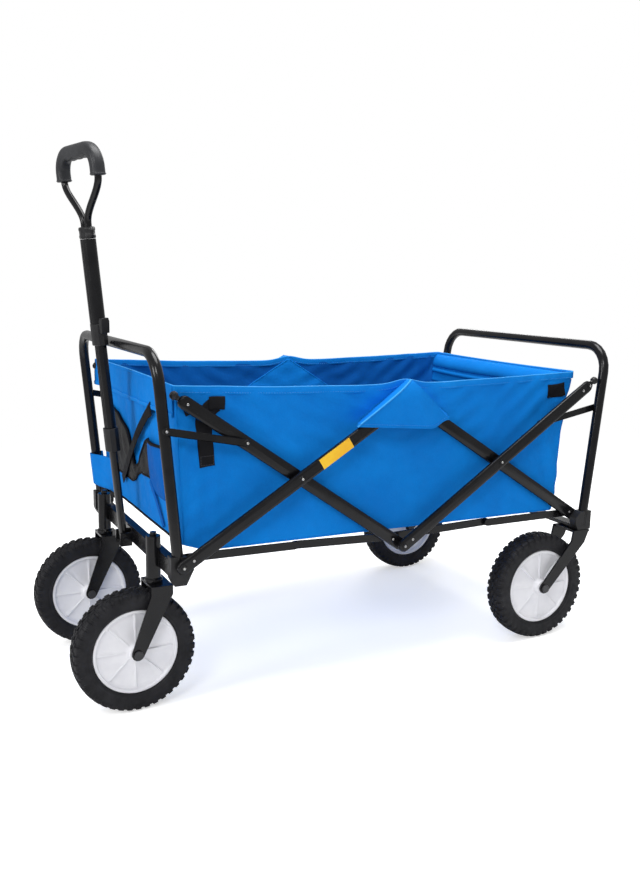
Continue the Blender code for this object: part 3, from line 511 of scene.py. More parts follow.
def ring_about(joint, stations):
    """Ring of points about a wheel's axle; each station is (turn, distance along the axle, radius)."""
    centre, axle = joint_at(joint), joint_axis(joint)
    way = axle.cross(UP).normalized()
    return [centre + axle * w + (way * math.cos(turn) + UP * math.sin(turn)) * r for turn, w, r in stations]


def tyre(joint, node_name, body):
    """Rubber tyre with staggered shoulder lugs that wrap onto the sidewalls."""
    half = list(TYRE_ROWS) + [(place, place, 0.0) for place in SIDEWALL]
    rows = []
    for side, profile in ((1, half), (-1, half[:0:-1])):
        for low, high, offset in profile:
            stagger = offset if side > 0 else 0.5 - offset
            stations = []
            for k in range(LUGS):
                for share, raised in LUG_STEPS:
                    w, r = [a + (b - a) * raised for a, b in zip(low, high)]
                    stations.append((2 * math.pi * (k + share + stagger) / LUGS, side * w * MM, r * MM))
            rows.append(ring_about(joint, stations))
    piece(f"{node_name}_tread", *rings(rows, closed=True), RUBBER, body, "tyre_rubber", 30.0,
          instead_of=node_name)


def hub(joint, node_name, body):
    """White moulded wheel disc: rim, fan-shaped face with shallow ribs, and centre boss."""
    rows = []
    for side, profile in ((1, HUB_ROWS), (-1, HUB_ROWS[::-1])):
        for radius, width, fan, rib in profile:
            stations = []
            for k in range(HUB_FAN):
                for share, blade, ridge in HUB_STEPS:
                    w = width * MM - FAN_DEPTH * fan * blade + RIB_HEIGHT * rib * ridge
                    stations.append((2 * math.pi * (k + share) / HUB_FAN, side * w, radius * MM))
            rows.append(ring_about(joint, stations))
    piece(f"{node_name}_disc", *rings(rows, closed=True), HUB, body, "hub_white", 42.0,
          instead_of=node_name)


def wheels():
    for side, _ in SIDES:
        for end in ("front", "rear"):
            joint, body = f"{end}_wheel_spin_{side}", f"{end}_wheel_{side}"
            tyre(joint, f"tyre_{end}_{side}", body)
            hub(joint, f"hub_{end}_{side}", body)


# ---------------------------------------------------------------- pull handle
HANDLE_ORIGIN = joint_at("handle_tilt")
HANDLE_Z = joint_axis("handle_top_slide")
HANDLE_Y = joint_axis("clamp_lever_turn")
HANDLE_X = HANDLE_Y.cross(HANDLE_Z).normalized()
LOOP_FOOT_X, LOOP_FOOT_Z = 7.5 * MM, 536.0 * MM
LOOP_STRAIGHT_END = 546.0 * MM
LOOP_SHOULDER = 617.0 * MM
LOOP_HALF_WIDTH = 64.0 * MM
LOOP_TOP = 660.0 * MM
LOOP_CORNER = 30.0 * MM
LOOP_TUBE = 5.8 * MM
GRIP_START = 614.0 * MM
GRIP_STEP = 1.8 * MM
GROOVE_WIDTH, GROOVE_DEPTH = 1.1 * MM, 0.8 * MM
# (height in mm, size) up the collar under the loop
COLLAR_ROWS = ((521.0, 0.88), (521.7, 0.96), (523.0, 1.0), (526.2, 1.0), (527.4, 0.95), (533.5, 0.95),
               (534.7, 1.0), (538.2, 1.0), (539.4, 0.96), (540.0, 0.86))


def on_handle(x, y, z):
    return HANDLE_ORIGIN + HANDLE_X * x + HANDLE_Y * y + HANDLE_Z * z


def power_of(value, power):
    """A power that keeps the sign, for superellipses."""
    return math.copysign(abs(value) ** power, value)


def loop_path():
    """(x, z) points of the loop's centre line from its left foot over the top to the right foot."""
    half = [(LOOP_FOOT_X, LOOP_FOOT_Z), (LOOP_FOOT_X, LOOP_STRAIGHT_END)]
    for i in range(1, 17):
        x = LOOP_FOOT_X + (LOOP_HALF_WIDTH - LOOP_FOOT_X) * smooth_step(i, 0, 16)
        half.append((x, LOOP_STRAIGHT_END + (LOOP_SHOULDER - LOOP_STRAIGHT_END) * i / 16))
    flat_end = LOOP_HALF_WIDTH - LOOP_CORNER
    for i in range(13):
        turn = math.radians(90.0 * i / 12)
        z = LOOP_TOP - LOOP_CORNER * (1 - math.sin(turn))
        half.append((flat_end + LOOP_CORNER * math.cos(turn), z))
    half += [(flat_end * (1 - i / 7), LOOP_TOP) for i in range(1, 8)]
    return half + [(-x, z) for x, z in reversed(half[:-1])]


def handle_loop():
    path = [on_handle(x, 0.0, z) for x, z in loop_path()]
    piece("loop_tube", *tube(resample(path, 3.5 * MM), LOOP_TUBE, HANDLE_Y, sides=18), PAINT, "handle_top",
          "black_paint", instead_of="handle_loop")


def handle_grip():
    """Soft hood over the top of the loop, flatter outside, with end lips and four low finger rests."""
    path = resample([on_handle(x, 0.0, z) for x, z in loop_path() if z > GRIP_START], GRIP_STEP)
    outs, ups = directions(path, HANDLE_Y)
    turns = [2 * math.pi * i / 28 for i in range(28)]
    section = [(power_of(math.cos(turn), 2 / 2.7), power_of(math.sin(turn), 2 / 2.7)) for turn in turns]
    rows = []
    for i, (point, out, up) in enumerate(zip(path, outs, ups)):
        from_end = min(i, len(path) - 1 - i) * GRIP_STEP
        lip = 1.0 + 0.09 * (1 - smooth_step(from_end, 2.2 * MM, 4.0 * MM))
        size = lip * (0.86 + 0.14 * smooth_step(from_end, -0.2 * MM, 1.8 * MM))
        away = (point - on_handle(0.0, 0.0, LOOP_TOP)).dot(HANDLE_X)
        fingers = math.cos(2 * math.pi * away / (24 * MM)) * (1 - smooth_step(abs(away), 34 * MM, 46 * MM))
        on_top = 1.0 - smooth_step(abs(away), 30 * MM, 56 * MM)
        outside, inside = 10.6 + 1.6 * on_top, 9.6 + 2.6 * on_top + 0.7 * fingers
        row = []
        for a, b in section:
            reach = outside if a < 0 else inside
            row.append(point + (out * a * reach + up * b * 11.6) * MM * size)
        rows.append(row)
    piece("grip_hood", *rings(rows), GRIP, "handle_top", "grip_plastic", 50.0, instead_of="handle_grip")


def handle_collar():
    """Moulded collar under the loop: a waisted ring with a round lobe at each side."""
    rows = []
    for height, size in COLLAR_ROWS:
        lobe_size = 0.26 * math.exp(-((height - 530.5) / 7.0) ** 2)
        row = []
        for i in range(64):
            turn = 2 * math.pi * i / 64
            lobes = 1.0 + lobe_size * math.exp(-(math.sin(turn) / 0.42) ** 2)
            ribs = 1 + 0.05 * math.cos(8 * turn)
            x = 17.2 * MM * power_of(math.cos(turn), 0.85) * lobes
            y = 11.4 * MM * power_of(math.sin(turn), 0.85) * ribs
            row.append(on_handle(x * size, y * size, height * MM))
        rows.append(row)
    piece("loop_collar", *rings(rows), PLASTIC, "handle_top", "black_plastic", 38.0,
          instead_of="handle_top_collar")


def fluted_tube(name, body, span, size, grooves):
    """Flat-oval handle tube with narrow grooves along both wide faces, and a bore."""
    width, depth = size
    half, round_end = (width - depth) / 2, depth / 2
    outline = [(half - 2 * half * i / 32, round_end) for i in range(33)]
    for i in range(1, 12):
        turn = math.pi * i / 12
        outline.append((-half - round_end * math.sin(turn), round_end * math.cos(turn)))
    outline += [(-x, -y) for x, y in outline]
    bore = [(x * (1 - 2.7 * MM / width), y * (1 - 2.9 * MM / depth)) for x, y in outline]
    section = []
    for x, y in outline:
        cut = GROOVE_DEPTH * sum(math.exp(-((x - place) / GROOVE_WIDTH) ** 2) for place in grooves)
        section.append((x, y - math.copysign(cut, y) if abs(y) > depth * 0.45 else y))
    low, high = span
    outlines = ((section, low), (section, high), (bore, high), (bore, low))
    rows = [[on_handle(x, y, z) for x, y in ring] for ring, z in outlines]
    piece(f"{name}_handle_tube", *rings(rows, closed=True), PAINT, body, "black_paint", 30.0,
          instead_of=f"handle_{name}_tube")


def handle_tubes():
    fluted_tube("upper", "handle_top", (0.3810, 0.5205), (0.0310, 0.0225), (-0.0052, 0.0, 0.0052))
    fluted_tube("middle", "handle_middle", (0.2010, 0.4150), (0.0245, 0.0165), (-0.0030, 0.0030))


# ---------------------------------------------------------------- rivets and label
def dome(centre, out, radius=2.3 * MM, height=1.2 * MM):
    """A domed rivet head."""
    side = out.cross(Vector((0, 1, 0.3))).normalized()
    other = out.cross(side).normalized()
    profile = [(radius, -0.3 * MM), (radius, 0.1 * MM)]
    for turn in (math.radians(15 * i) for i in range(1, 6)):
        profile.append((radius * math.cos(turn), 0.1 * MM + height * math.sin(turn)))
    rows = []
    for r, h in profile:
        turns = [2 * math.pi * i / 20 for i in range(20)]
        rows.append([centre + out * h + side * r * math.cos(t) + other * r * math.sin(t) for t in turns])
    return rings(rows)


def mirrored(point):
    """The same place at the other end of the cart."""
    return Vector((point.x, -point.y, point.z))


def rivets():
    """Bright rivet heads on the bars and links, each at a point of the side view, on a face at some x."""
    outer_way = (TOP_CENTRE - FRONT_FOOT).normalized()
    inner_way = (FRONT_CROSSING - LOW_CENTRE).normalized()
    rear_way = (TOP_CENTRE - REAR_FOOT).normalized()
    second = 19 * MM             # from a pivot to the second rivet beside it
    low_two = LOW_CENTRE + inner_way * second
    tip = FRONT_CROSSING + inner_way * 236.1 * MM
    link_bar = FRONT_CROSSING + inner_way * 113.3 * MM
    link_post = joint_at("front_link_pivot")
    front_link_x, rear_link_x = [node_box(f"{end}_link_left")[1].x for end in ("front", "rear")]
    boss, flat = OUTER_BAR_RIVET_FACE, OUTER_BAR_FACE
    spots = {
        "front_outer_bars": [(FRONT_FOOT, boss), (FRONT_FOOT + outer_way * second, flat),
                             (FRONT_CROSSING, boss), (TOP_CENTRE, boss)],
        "rear_outer_bars": [(LOW_CENTRE, boss), (mirrored(low_two), flat), (REAR_CROSSING, boss),
                            (mirrored(tip), boss), (mirrored(tip - inner_way * 17 * MM), flat)],
        "front_inner_bars": [(low_two, INNER_BAR_FACE), (tip - inner_way * 9 * MM, INNER_BAR_FACE)],
        "rear_inner_bars": [(REAR_FOOT + rear_way * (second + 4 * MM), INNER_BAR_FACE)],
        "front_links": [(link_post, front_link_x), (link_bar, front_link_x)],
        "rear_links": [(mirrored(link_post), rear_link_x), (mirrored(link_bar), rear_link_x)],
    }
    for side_name, side in SIDES:
        for body, places in spots.items():
            part = body.removesuffix("s").removesuffix("_bar")
            heads = [dome(Vector((side * x, p.y, p.z)), SIDEWAYS * side) for p, x in places]
            piece(f"rivets_{part}_{side_name}", *merged(heads), ZINC, body, "zinc", 50.0)


def label():
    """Plain yellow plate on the front outer bar of the left side."""
    way = (TOP_CENTRE - FRONT_FOOT).normalized()
    across = Vector((0, -way.z, way.y)) * 9.3 * MM
    start, end = [FRONT_FOOT + way * ((y - FRONT_FOOT.y) / way.y) for y in (-0.1655, -0.1115)]
    outline = (start - across, end - across, end + across, start + across)
    rows = [[Vector((OUTER_BAR_FACE + lift, p.y, p.z)) for p in outline] for lift in (-0.2 * MM, 0.25 * MM)]
    piece("bar_label", *rings(rows), LABEL, "front_outer_bars", "black_paint")


# ---------------------------------------------------------------- fabric basket
WALL_ROWS = 56
SIDE_COLUMNS = 158
END_COLUMNS = 90
FLOOR_RINGS = 25
RELIEF_LIMIT = 3.6 * MM          # the most that a side wall may stand out, clear of the bars
RELIEF_KNEE = 0.6 * MM
# (y, z) of each point where a side wall is held, then the (y, z) way across its folds, their reach, and
# their size in mm
PULLS = (
    (-0.375, 0.500, 0.62, 0.78, 0.22, 2.0), (0.345, 0.500, -0.66, 0.75, 0.22, 1.8),
    (-0.360, 0.262, 0.55, -0.83, 0.16, 1.2), (0.325, 0.262, -0.60, -0.80, 0.15, 1.2),
    (-0.115, 0.452, 0.35, 0.94, 0.14, 1.2), (0.100, 0.448, -0.40, 0.92, 0.15, 1.3),
)


def soft(name, verts, faces, look, slot="blue_fabric", thickness=0.0, sharp=60.0, **more):
    """A fabric piece that rides on the front frame as the cart folds."""
    made = piece(name, verts, faces, look, "front_frame", slot, sharp, **more)
    if thickness:
        modifier = made.modifiers.new("thickness", "SOLIDIFY")
        modifier.thickness = thickness
        modifier.offset = -1.0
        modifier.use_even_offset = True
    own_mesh(made)
    return made


def front_y(v):
    return FRONT_BOTTOM_Y + (FRONT_TOP_Y - FRONT_BOTTOM_Y) * v


def rear_y(v):
    """The rear panel leans out at the top and tucks in under the bottom seam."""
    return REAR_EDGE_Y + 0.025 * v ** 4 - 0.010 * (1 - v) ** 6


def bottom_z(y):
    """The floor is flat and rises to the front edge."""
    return FLOOR_Z + 14.8 * MM * smooth_step(-y, -FRONT_SLOPE_Y - 8 * MM, -FRONT_BOTTOM_Y + 14 * MM)


def top_z(y):
    """The top edge sags between the corners and is pulled up over the middle pivots."""
    sag = 0.010 * (abs(y + 0.03) / 0.375) ** 2
    peak = 0.008 * math.exp(-((y - APEX_Y) / 0.030) ** 2)
    ripple = 0.0010 * cloth_noise(0.3, y, 0.0, 11.0, 4.0)
    return 0.5025 + sag + peak + ripple


def wave(y, z, way_y, way_z, period, phase, bend=0.0):
    """Soft parallel folds across a direction; the folds wander with some noise."""
    along_it = y * way_y + z * way_z + bend * cloth_noise(0.0, y, z, 7.0, phase)
    return math.sin(2 * math.pi * along_it / period + phase)


def side_relief(side, y, z):
    """How far a side wall stands out of its plane: billow, slack folds and pull marks."""
    seed = 3.1 if side > 0 else 8.7
    top, low = top_z(y), bottom_z(y)
    v = min(max((z - low) / (top - low), 0.0), 1.0)
    belly = math.sin(math.pi * v)
    slack = cloth_noise(0.0, y * 1.0 + z * 0.7, z * 0.5 - y * 0.25, 16.0, seed)
    near_front, near_rear = smooth_step(-y, 0.285, 0.375), smooth_step(y, 0.255, 0.345)
    relief = -1.6 * belly * (0.7 + 0.9 * cloth_noise(0, y, z, 4.5, seed))
    relief += 2.0 * slack * (0.25 + 0.75 * belly)
    relief += 0.35 * cloth_noise(0.0, y, z, 55.0, seed)
    relief += 1.9 * near_front * (0.35 + 0.65 * belly) * wave(y, z, 1.0, -0.10, 0.030, seed, 0.012)
    relief += 1.5 * near_rear * (0.3 + 0.7 * belly) * wave(y, z, 1.0, 0.22, 0.036, seed + 2, 0.014)
    for pull_y, pull_z, way_y, way_z, reach, size in PULLS:
        away = math.hypot(y - pull_y, z - pull_z)
        pull = math.exp(-(away / reach) ** 2 * 2.2) * smooth_step(away, 0.008, 0.035)
        relief += size * 0.85 * pull * wave(y, z, way_y, way_z, 0.034, seed + pull_y * 9, 0.010)
    depth = max((0.5145 - z) / 0.065, 0.0)
    if depth < 1.0:
        tent = min(max(1 - (abs(y - APEX_Y) - 0.095 * depth) / 0.05, 0.0), 1.0)
        relief += 5.0 * (1 - depth) * tent
    relief *= MM * (0.25 + 0.75 * smooth_step(v, 0.0, 0.10))
    if relief <= 0:
        return relief
    return RELIEF_LIMIT - math.log1p(math.exp((RELIEF_LIMIT - relief) / RELIEF_KNEE)) * RELIEF_KNEE


def end_relief(end, x, z):
    """The same for the front and rear panels."""
    v = min(max((z - 0.256) / 0.255, 0.0), 1.0)
    belly = math.sin(math.pi * v)
    relief = 1.6 * cloth_noise(x, 0.0, z, 9.0, end * 5.0) * (0.3 + 0.7 * belly)
    relief += 0.4 * cloth_noise(x, 0.0, z, 48.0, end)
    if end > 0:
        relief += 3.0 * belly * (1 - (x / WALL_X) ** 2)
        relief += 1.1 * belly * wave(x, z, 0.45, 1.0, 0.055, 1.3, 0.02)
    else:
        relief += 0.9 * belly * wave(x, z, 1.0, 0.3, 0.048, 0.4, 0.02)
    return relief * MM


def loop_columns():
    """Columns once round the basket's wall: (kind, share), or (kind, angle, side, end) at a corner."""
    columns = []
    walls = (("left", SIDE_COLUMNS, 1, 1), ("rear", END_COLUMNS, -1, 1),
             ("right", SIDE_COLUMNS, -1, -1), ("front", END_COLUMNS, 1, -1))
    for quarter, (kind, count, side, end) in enumerate(walls):
        columns += [(kind, i / count) for i in range(count + 1)]
        columns += [("corner", math.radians(15.0 * i + 90.0 * quarter), side, end) for i in range(1, 6)]
    return columns


def wall_point(column, v):
    """Point of the wall's outer face and its outward direction."""
    kind = column[0]
    low, high = front_y(v), rear_y(v)
    inner = WALL_X - CORNER
    if kind in ("left", "right"):
        side = 1 if kind == "left" else -1
        share = column[1] if side > 0 else 1 - column[1]
        y = low + CORNER + (high - low - 2 * CORNER) * share
        z = bottom_z(y) + (top_z(y) - bottom_z(y)) * v
        return Vector((side * (WALL_X + side_relief(side, y, z)), y, z)), SIDEWAYS * side
    if kind in ("rear", "front"):
        end = 1 if kind == "rear" else -1
        x = end * inner * (1 - 2 * column[1])
        y = high if end > 0 else low
        lift = -end * 1.8 * MM * (1 - (x / inner) ** 2) * v
        z = bottom_z(y) + (top_z(y) + lift - bottom_z(y)) * v
        return Vector((x, y + end * end_relief(end, x, z) * (1 - (x / inner) ** 8), z)), AHEAD * -end
    _, turn, side, end = column
    out = Vector((math.cos(turn), math.sin(turn), 0))
    y = (high - CORNER if end > 0 else low + CORNER) + CORNER * out.y
    z = bottom_z(y) + (top_z(y) - bottom_z(y)) * v
    return Vector((side * inner + CORNER * out.x, y, z)) + out * side_relief(side, y, z) * abs(out.x), out


def basket_shell():
    """Walls and floor in one cloth, with painted shade on the inside."""
    columns = loop_columns()
    rows = [[wall_point(c, j / WALL_ROWS)[0] for c in columns] for j in range(WALL_ROWS + 1)]
    verts, faces = grid_mesh(rows, closed_across=True)
    count, middle_y = len(columns), (FRONT_BOTTOM_Y + REAR_EDGE_Y) / 2
    previous = list(range(count))
    for k in range(1, FLOOR_RINGS):
        share = 1 - k / (FLOOR_RINGS + 1)
        current = list(range(len(verts), len(verts) + count))
        for edge in rows[0]:
            x, y = edge.x * share, middle_y + (edge.y - middle_y) * share
            sag = 0.8 * MM * cloth_noise(x, y, 0.0, 14.0, 2.0) * min(1.0, (1 - share) * 6)
            verts.append(Vector((x, y, bottom_z(y) + sag)))
        for i in range(count):
            m = (i + 1) % count
            faces.append((current[i], current[m], previous[m], previous[i]))
        previous = current
    faces.append(tuple(reversed(previous)))
    made = soft("basket_cloth", verts, faces, BLUE, thickness=CLOTH, repair=False, instead_of="basket")
    # The inner faces of the thickened cloth take the darker blue, which is painted shade.
    made.data.materials.append(BLUE_PAINTED_SHADE)
    made.modifiers["thickness"].material_offset = 1


def hem_and_seams():
    columns = loop_columns()
    kinds = [column[0] for column in columns]
    points, outs = zip(*(wall_point(column, 1.0) for column in columns))
    section = rounded_section(-1.8 * MM, 0.45 * MM, -HEM_HEIGHT, 1.2 * MM, 0.8 * MM)
    # The hem band is in the lighter blue, a painted highlight.
    soft("top_hem", *sweep(points, outs, [UP] * len(points), section, closed=True), BLUE_HEM_HIGHLIGHT)
    # A thin tube along the top edge in the pale blue: painted highlight.
    piping = [p + UP * MM - out * 0.5 * MM for p, out in zip(points, outs)]
    soft("top_edge_piping_highlight", *tube(piping, 1.1 * MM, closed=True), BLUE_EDGE_HIGHLIGHT)
    down = UP * (HEM_HEIGHT - 2.6 * MM)
    parts = []
    for kind in ("left", "rear", "right", "front"):
        chosen = [i for i in range(len(columns)) if kinds[i] == kind]
        out = outs[chosen[0]]
        parts.append(stitches([points[i] + out * 0.4 * MM - down for i in chosen], out))
        parts.append(stitches([points[i] - out * 1.8 * MM - down for i in chosen], -out))
    soft("hem_stitches", *merged(parts), THREAD)
    seams = []
    for column in [c for c in columns if c[0] == "corner" and abs(math.sin(2 * c[1])) > 0.9]:
        line = [wall_point(column, j / 40) for j in range(39)]
        seams.append(tube([p + out * 0.2 * MM for p, out in line], 1.1 * MM, SIDEWAYS))
    soft("corner_piping", *merged(seams), BLUE)
    low_line = [wall_point(column, 0.0)[0] for column in columns]
    front_part = [p for p, kind in zip(low_line, kinds) if kind == "front"]
    soft("front_binding", *tube(resample(front_part, 6 * MM), 2.2 * MM), WEBBING)
    soft("bottom_piping", *tube([p + UP * 0.2 * MM for p in low_line], 1.2 * MM, closed=True), BLUE)


# ---------------------------------------------------------------- flaps over the middle pivots
FLAP_X = 0.2675
# apex, front corner and rear corner of the outer face, and of where its strips meet the wall
FLAP_FACE = ((0.2560, APEX_Y, 0.5125), (FLAP_X, -0.1025, 0.4400), (FLAP_X, 0.0865, 0.4425))
FLAP_WALL = ((0.2350, APEX_Y + 0.004, 0.5125), (0.2370, -0.0875, 0.4410), (0.2370, 0.0935, 0.4480))
FLAP_STRIP, FLAP_WIDE, FLAP_TALL = 6, 48, 40     # quads across a strip, across the face, and down it


def flap_base(y):
    """Height of the flap's lower edge: a slow slope to the rear, then up over the rear bar."""
    return 0.4400 - 0.0120 * (y + 0.1025) / 0.1625 + 0.0145 * smooth_step(y, 0.046, 0.086)


def flap_row(b, side):
    """Points across the flap at a share b of its height, counted from its apex."""
    apex, left, right = [Vector(p) for p in FLAP_FACE]
    l, r = apex.lerp(left, b), apex.lerp(right, b)
    l.y -= 1.0 * MM
    r.y += 1.0 * MM
    l.x = r.x = FLAP_X - 0.0115 * (1 - b) ** 6
    wall_apex, wall_left, wall_right = [Vector(p) for p in FLAP_WALL]
    wall_l, wall_r = wall_apex.lerp(wall_left, b), wall_apex.lerp(wall_right, b)
    row = [wall_l.lerp(l, t / FLAP_STRIP) for t in range(FLAP_STRIP)]
    for s in (t / FLAP_WIDE for t in range(FLAP_WIDE + 1)):
        p = l.lerp(r, s)
        straight = left.z + (right.z - left.z) * s
        p.z += (flap_base(left.y + (right.y - left.y) * s) - straight) * b * b
        p.x -= 15.0 * MM * smooth_step(s, 0.66, 1.0) * b ** 1.5
        swell = math.sin(math.pi * s)
        bulge = 0.8 * swell + 0.7 * cloth_noise(0.0, p.y, p.z, 24.0, 6.0 + side) * swell ** 0.5
        bulge += 0.7 * wave(p.y, p.z, 0.8, 0.6, 0.060, 1.0 + side, 0.01) * swell
        row.append(Vector((p.x + bulge * b * MM, p.y, p.z)))
    last = row[-1]
    for t in range(1, FLAP_STRIP + 1):
        row.append(last.lerp(wall_r, (smooth_step(t, 0, FLAP_STRIP) + t / FLAP_STRIP) / 2))
    return [Vector((side * p.x, p.y, p.z)) for p in row]


def flap(side, name):
    """Triangular cover over a middle pivot: an outer face, and strips that run back to the wall."""
    rows = [flap_row(j / FLAP_TALL, side) for j in range(FLAP_TALL + 1)]
    verts, faces = grid_mesh(rows) if side < 0 else flipped(*grid_mesh(rows))
    soft(f"flap_{name}", verts, faces, BLUE, thickness=CLOTH, sharp=70.0, repair=False)
    out = SIDEWAYS * side
    base_row = rows[-1][FLAP_STRIP:FLAP_STRIP + FLAP_WIDE + 1]
    section = rounded_section(-1.3 * MM, 0.15 * MM, -0.4 * MM, 5.6 * MM, 0.4 * MM, 2)
    soft(f"flap_hem_{name}", *sweep(base_row, [out] * len(base_row), [UP] * len(base_row), section), BLUE)
    # A tube along the flap's folded front edge in the pale blue: painted highlight.
    fold = [row[FLAP_STRIP] - out * 0.2 * MM for row in rows]
    soft(f"flap_fold_highlight_{name}", *tube(fold, 1.5 * MM, SIDEWAYS), BLUE_EDGE_HIGHLIGHT)
    seam = [p + out * 0.35 * MM + UP * 4.6 * MM for p in base_row[1:-1]]
    soft(f"flap_stitches_{name}", *stitches(seam, out), THREAD)


def wall_patch(side, name):
    """Triangular reinforcement sewn inside a side wall, below the middle pivot."""
    apex, left, right = Vector((APEX_Y, 0.5065)), Vector((-0.091, 0.4510)), Vector((0.0986, 0.4460))

    def inside(b, s):
        y = apex.x + (left.lerp(right, s).x - apex.x) * max(b, 0.02)
        z = apex.y + (left.lerp(right, s).y - apex.y) * b - 3.0 * MM * b * math.sin(math.pi * s)
        puff = 0.7 * MM * b * math.sin(math.pi * s)
        return Vector((side * (WALL_X + side_relief(side, y, z) - CLOTH - 0.5 * MM - puff), y, z))

    rows = sheet(24, 40, inside)
    made = soft(f"wall_patch_{name}", *grid_mesh(rows), BLUE, thickness=1.0 * MM)
    made.modifiers["thickness"].offset = 0.0
    made.modifiers["thickness"].use_even_offset = False
    seams = []
    for line in ([row[0] for row in rows[1:]], [row[-1] for row in rows[1:]], rows[-1]):
        lifted = [p - SIDEWAYS * side * 0.3 * MM for p in resample(line, 4 * MM)]
        seams.append(tube(lifted, 1.1 * MM, SIDEWAYS, 6))
    # The patch seams are in the lighter blue, a painted highlight.
    soft(f"wall_patch_seam_{name}", *merged(seams), BLUE_HEM_HIGHLIGHT)


# ---------------------------------------------------------------- rear and front panels
# (distance in from the rear panel, height) down the rolled-over top, in mm
ROLL = ((-1.0, 511.0), (-7.0, 508.5), (-11.5, 502.0), (-12.5, 494.0), (-10.0, 486.5), (-4.5, 483.0),
        (-6.5, 480.5), (-9.0, 477.0), (-7.5, 472.5), (-2.5, 470.5), (-1.4, 462.0), (-1.3, 452.0))
ROLL_HALF_WIDTH = 0.2285


def rear_folds():
    """The spare top of the rear panel, rolled over and tucked inside in two soft folds."""
    rows = []
    for x in (-0.2255 + 0.451 * i / 100 for i in range(101)):
        end = 1 - (abs(x) / ROLL_HALF_WIDTH) ** 10
        swell = 1 + 0.16 * cloth_noise(x, 0.0, 0.0, 13.0, 5.0)
        drop = 1.6 * MM * cloth_noise(x, 1.0, 0.0, 8.0, 2.0) - 2.2 * MM * (1 - (x / ROLL_HALF_WIDTH) ** 2)
        points = []
        for out, height in ROLL:
            z = height * MM
            v = min((z - FLOOR_Z) / (top_z(0.384) - FLOOR_Z), 1.0)
            y = rear_y(v) - CLOTH + out * MM * swell * (0.55 + 0.45 * end) + 0.3 * end_relief(1, x, z)
            points.append(Vector((x, y, z + drop * smooth_step(513.0 - height, 0.0, 14.0))))
        rows.append(smooth_line(points, 4))
    soft("rear_folds", *grid_mesh(rows), BLUE, thickness=1.0 * MM)
    edge = [row[20] + Vector((0, -0.8 * MM, -0.4 * MM)) for row in rows]
    # The rolled edge is in the lighter blue, a painted highlight.
    soft("rear_fold_edge", *tube(edge, 1.0 * MM, sides=6), BLUE_HEM_HIGHLIGHT)


def on_front(x, z, out=0.0):
    """Point on the front panel's outer face, moved out by some millimetres."""
    low = bottom_z(FRONT_BOTTOM_Y)
    v = min(max((z - low) / (top_z(FRONT_TOP_Y) - low), 0.0), 1.0)
    edge = 1 - min(abs(x) / (WALL_X - CORNER), 1.0) ** 8
    return Vector((x, front_y(v) - end_relief(-1, x, z) * edge - out * MM, z))


def front_ribbon(name, width, spots, look=WEBBING, slot="board_fabric", steps=8):
    """Flat webbing on the front panel; each spot is (x, z, how far out in mm)."""
    points = [on_front(*spot) for spot in spots]
    if steps:
        points = smooth_line(points, steps)
    ups = []
    for i in range(len(points)):
        way = (points[min(i + 1, len(points) - 1)] - points[max(i - 1, 0)]).normalized()
        ups.append(way.cross(AHEAD).normalized())
    section = rounded_section(0.0, 1.5 * MM, -width / 2, width / 2, 0.6 * MM, 2)
    soft(name, *sweep(points, [AHEAD] * len(points), ups, section), look, slot)


def front_valance():
    """Spare cloth hanging from the front's top edge, with a hem."""
    top, low = 0.5135, 0.4645

    def hanging(s, t):
        x = -0.250 + 0.478 * s
        z = top - (top - low) * t - 0.8 * MM * t * cloth_noise(x, 0.0, 0.0, 9.0, 1.0)
        slack = 2.4 + 0.9 * wave(x, 0.0, 1.0, 0.0, 0.060, 0.7, 0.02)
        slack += 1.2 * cloth_noise(x, 0.2, 0.0, 12.0, 9.0)
        past_corner = 2.6 * smooth_step(-x, 0.222, 0.238)
        return on_front(x, z, 1.3 + past_corner + slack * math.sin(math.pi * min(t * 0.62, 0.5)))

    rows = sheet(90, 12, hanging)
    soft("front_valance", *grid_mesh(rows), BLUE, thickness=1.1 * MM)
    edge = [row[-1] for row in rows]
    section = rounded_section(-1.0 * MM, 1.5 * MM, -1.0 * MM, 6.0 * MM, 0.8 * MM, 2)
    # The valance hem is in the lighter blue, a painted highlight.
    soft("valance_hem", *sweep(edge, [AHEAD] * len(edge), [UP] * len(edge), section), BLUE_HEM_HIGHLIGHT)
    seam = [p + AHEAD * 1.5 * MM + UP * 4.2 * MM for p in edge]
    soft("valance_stitches", *stitches(seam, AHEAD), THREAD)


# (x, z) along the netting's slack elastic top
NET_TOP = ((-0.175, 0.4400), (-0.120, 0.4300), (-0.079, 0.4190), (-0.036, 0.4010), (-0.014, 0.3770),
           (-0.002, 0.3540), (0.012, 0.3480), (0.036, 0.3620), (0.062, 0.3930), (0.090, 0.4090))


def front_netting():
    """Netting pocket with a sagging top, its dark lining and its binding."""
    top_x, top_z_values = zip(*smooth_line(NET_TOP, 8))

    def height(x, share):
        low = 0.3140 + 0.0270 * smooth_step(x, -0.031, 0.040)
        return low + (float(np.interp(x, top_x, top_z_values)) - low) * share

    def net(s, t):
        x = -0.175 + 0.264 * s
        z = height(x, t)
        puff = math.sin(math.pi * s) ** 0.5 * math.sin(math.pi * (0.06 + 0.70 * t)) if 0 < s < 1 else 0.0
        return on_front(x, z, 1.2 + 5.0 * puff * (1 + 0.3 * cloth_noise(x, 0, z, 16.0, 3.0)))

    def lining(s, t):
        x = -0.173 + 0.260 * s
        return on_front(x, height(x, t), 0.7)

    rows = sheet(60, 24, net)
    soft("front_netting", *grid_mesh(rows), NETTING)
    soft("netting_lining", *grid_mesh(sheet(30, 10, lining)), WEBBING)
    low_and_end = [row[0] for row in rows] + rows[-1]
    elastic = tube([row[-1] for row in rows[::2]], 2.4 * MM)
    binding = tube(resample(low_and_end, 5 * MM), 1.9 * MM, AHEAD)
    soft("netting_binding", *merged([binding, elastic]), WEBBING)


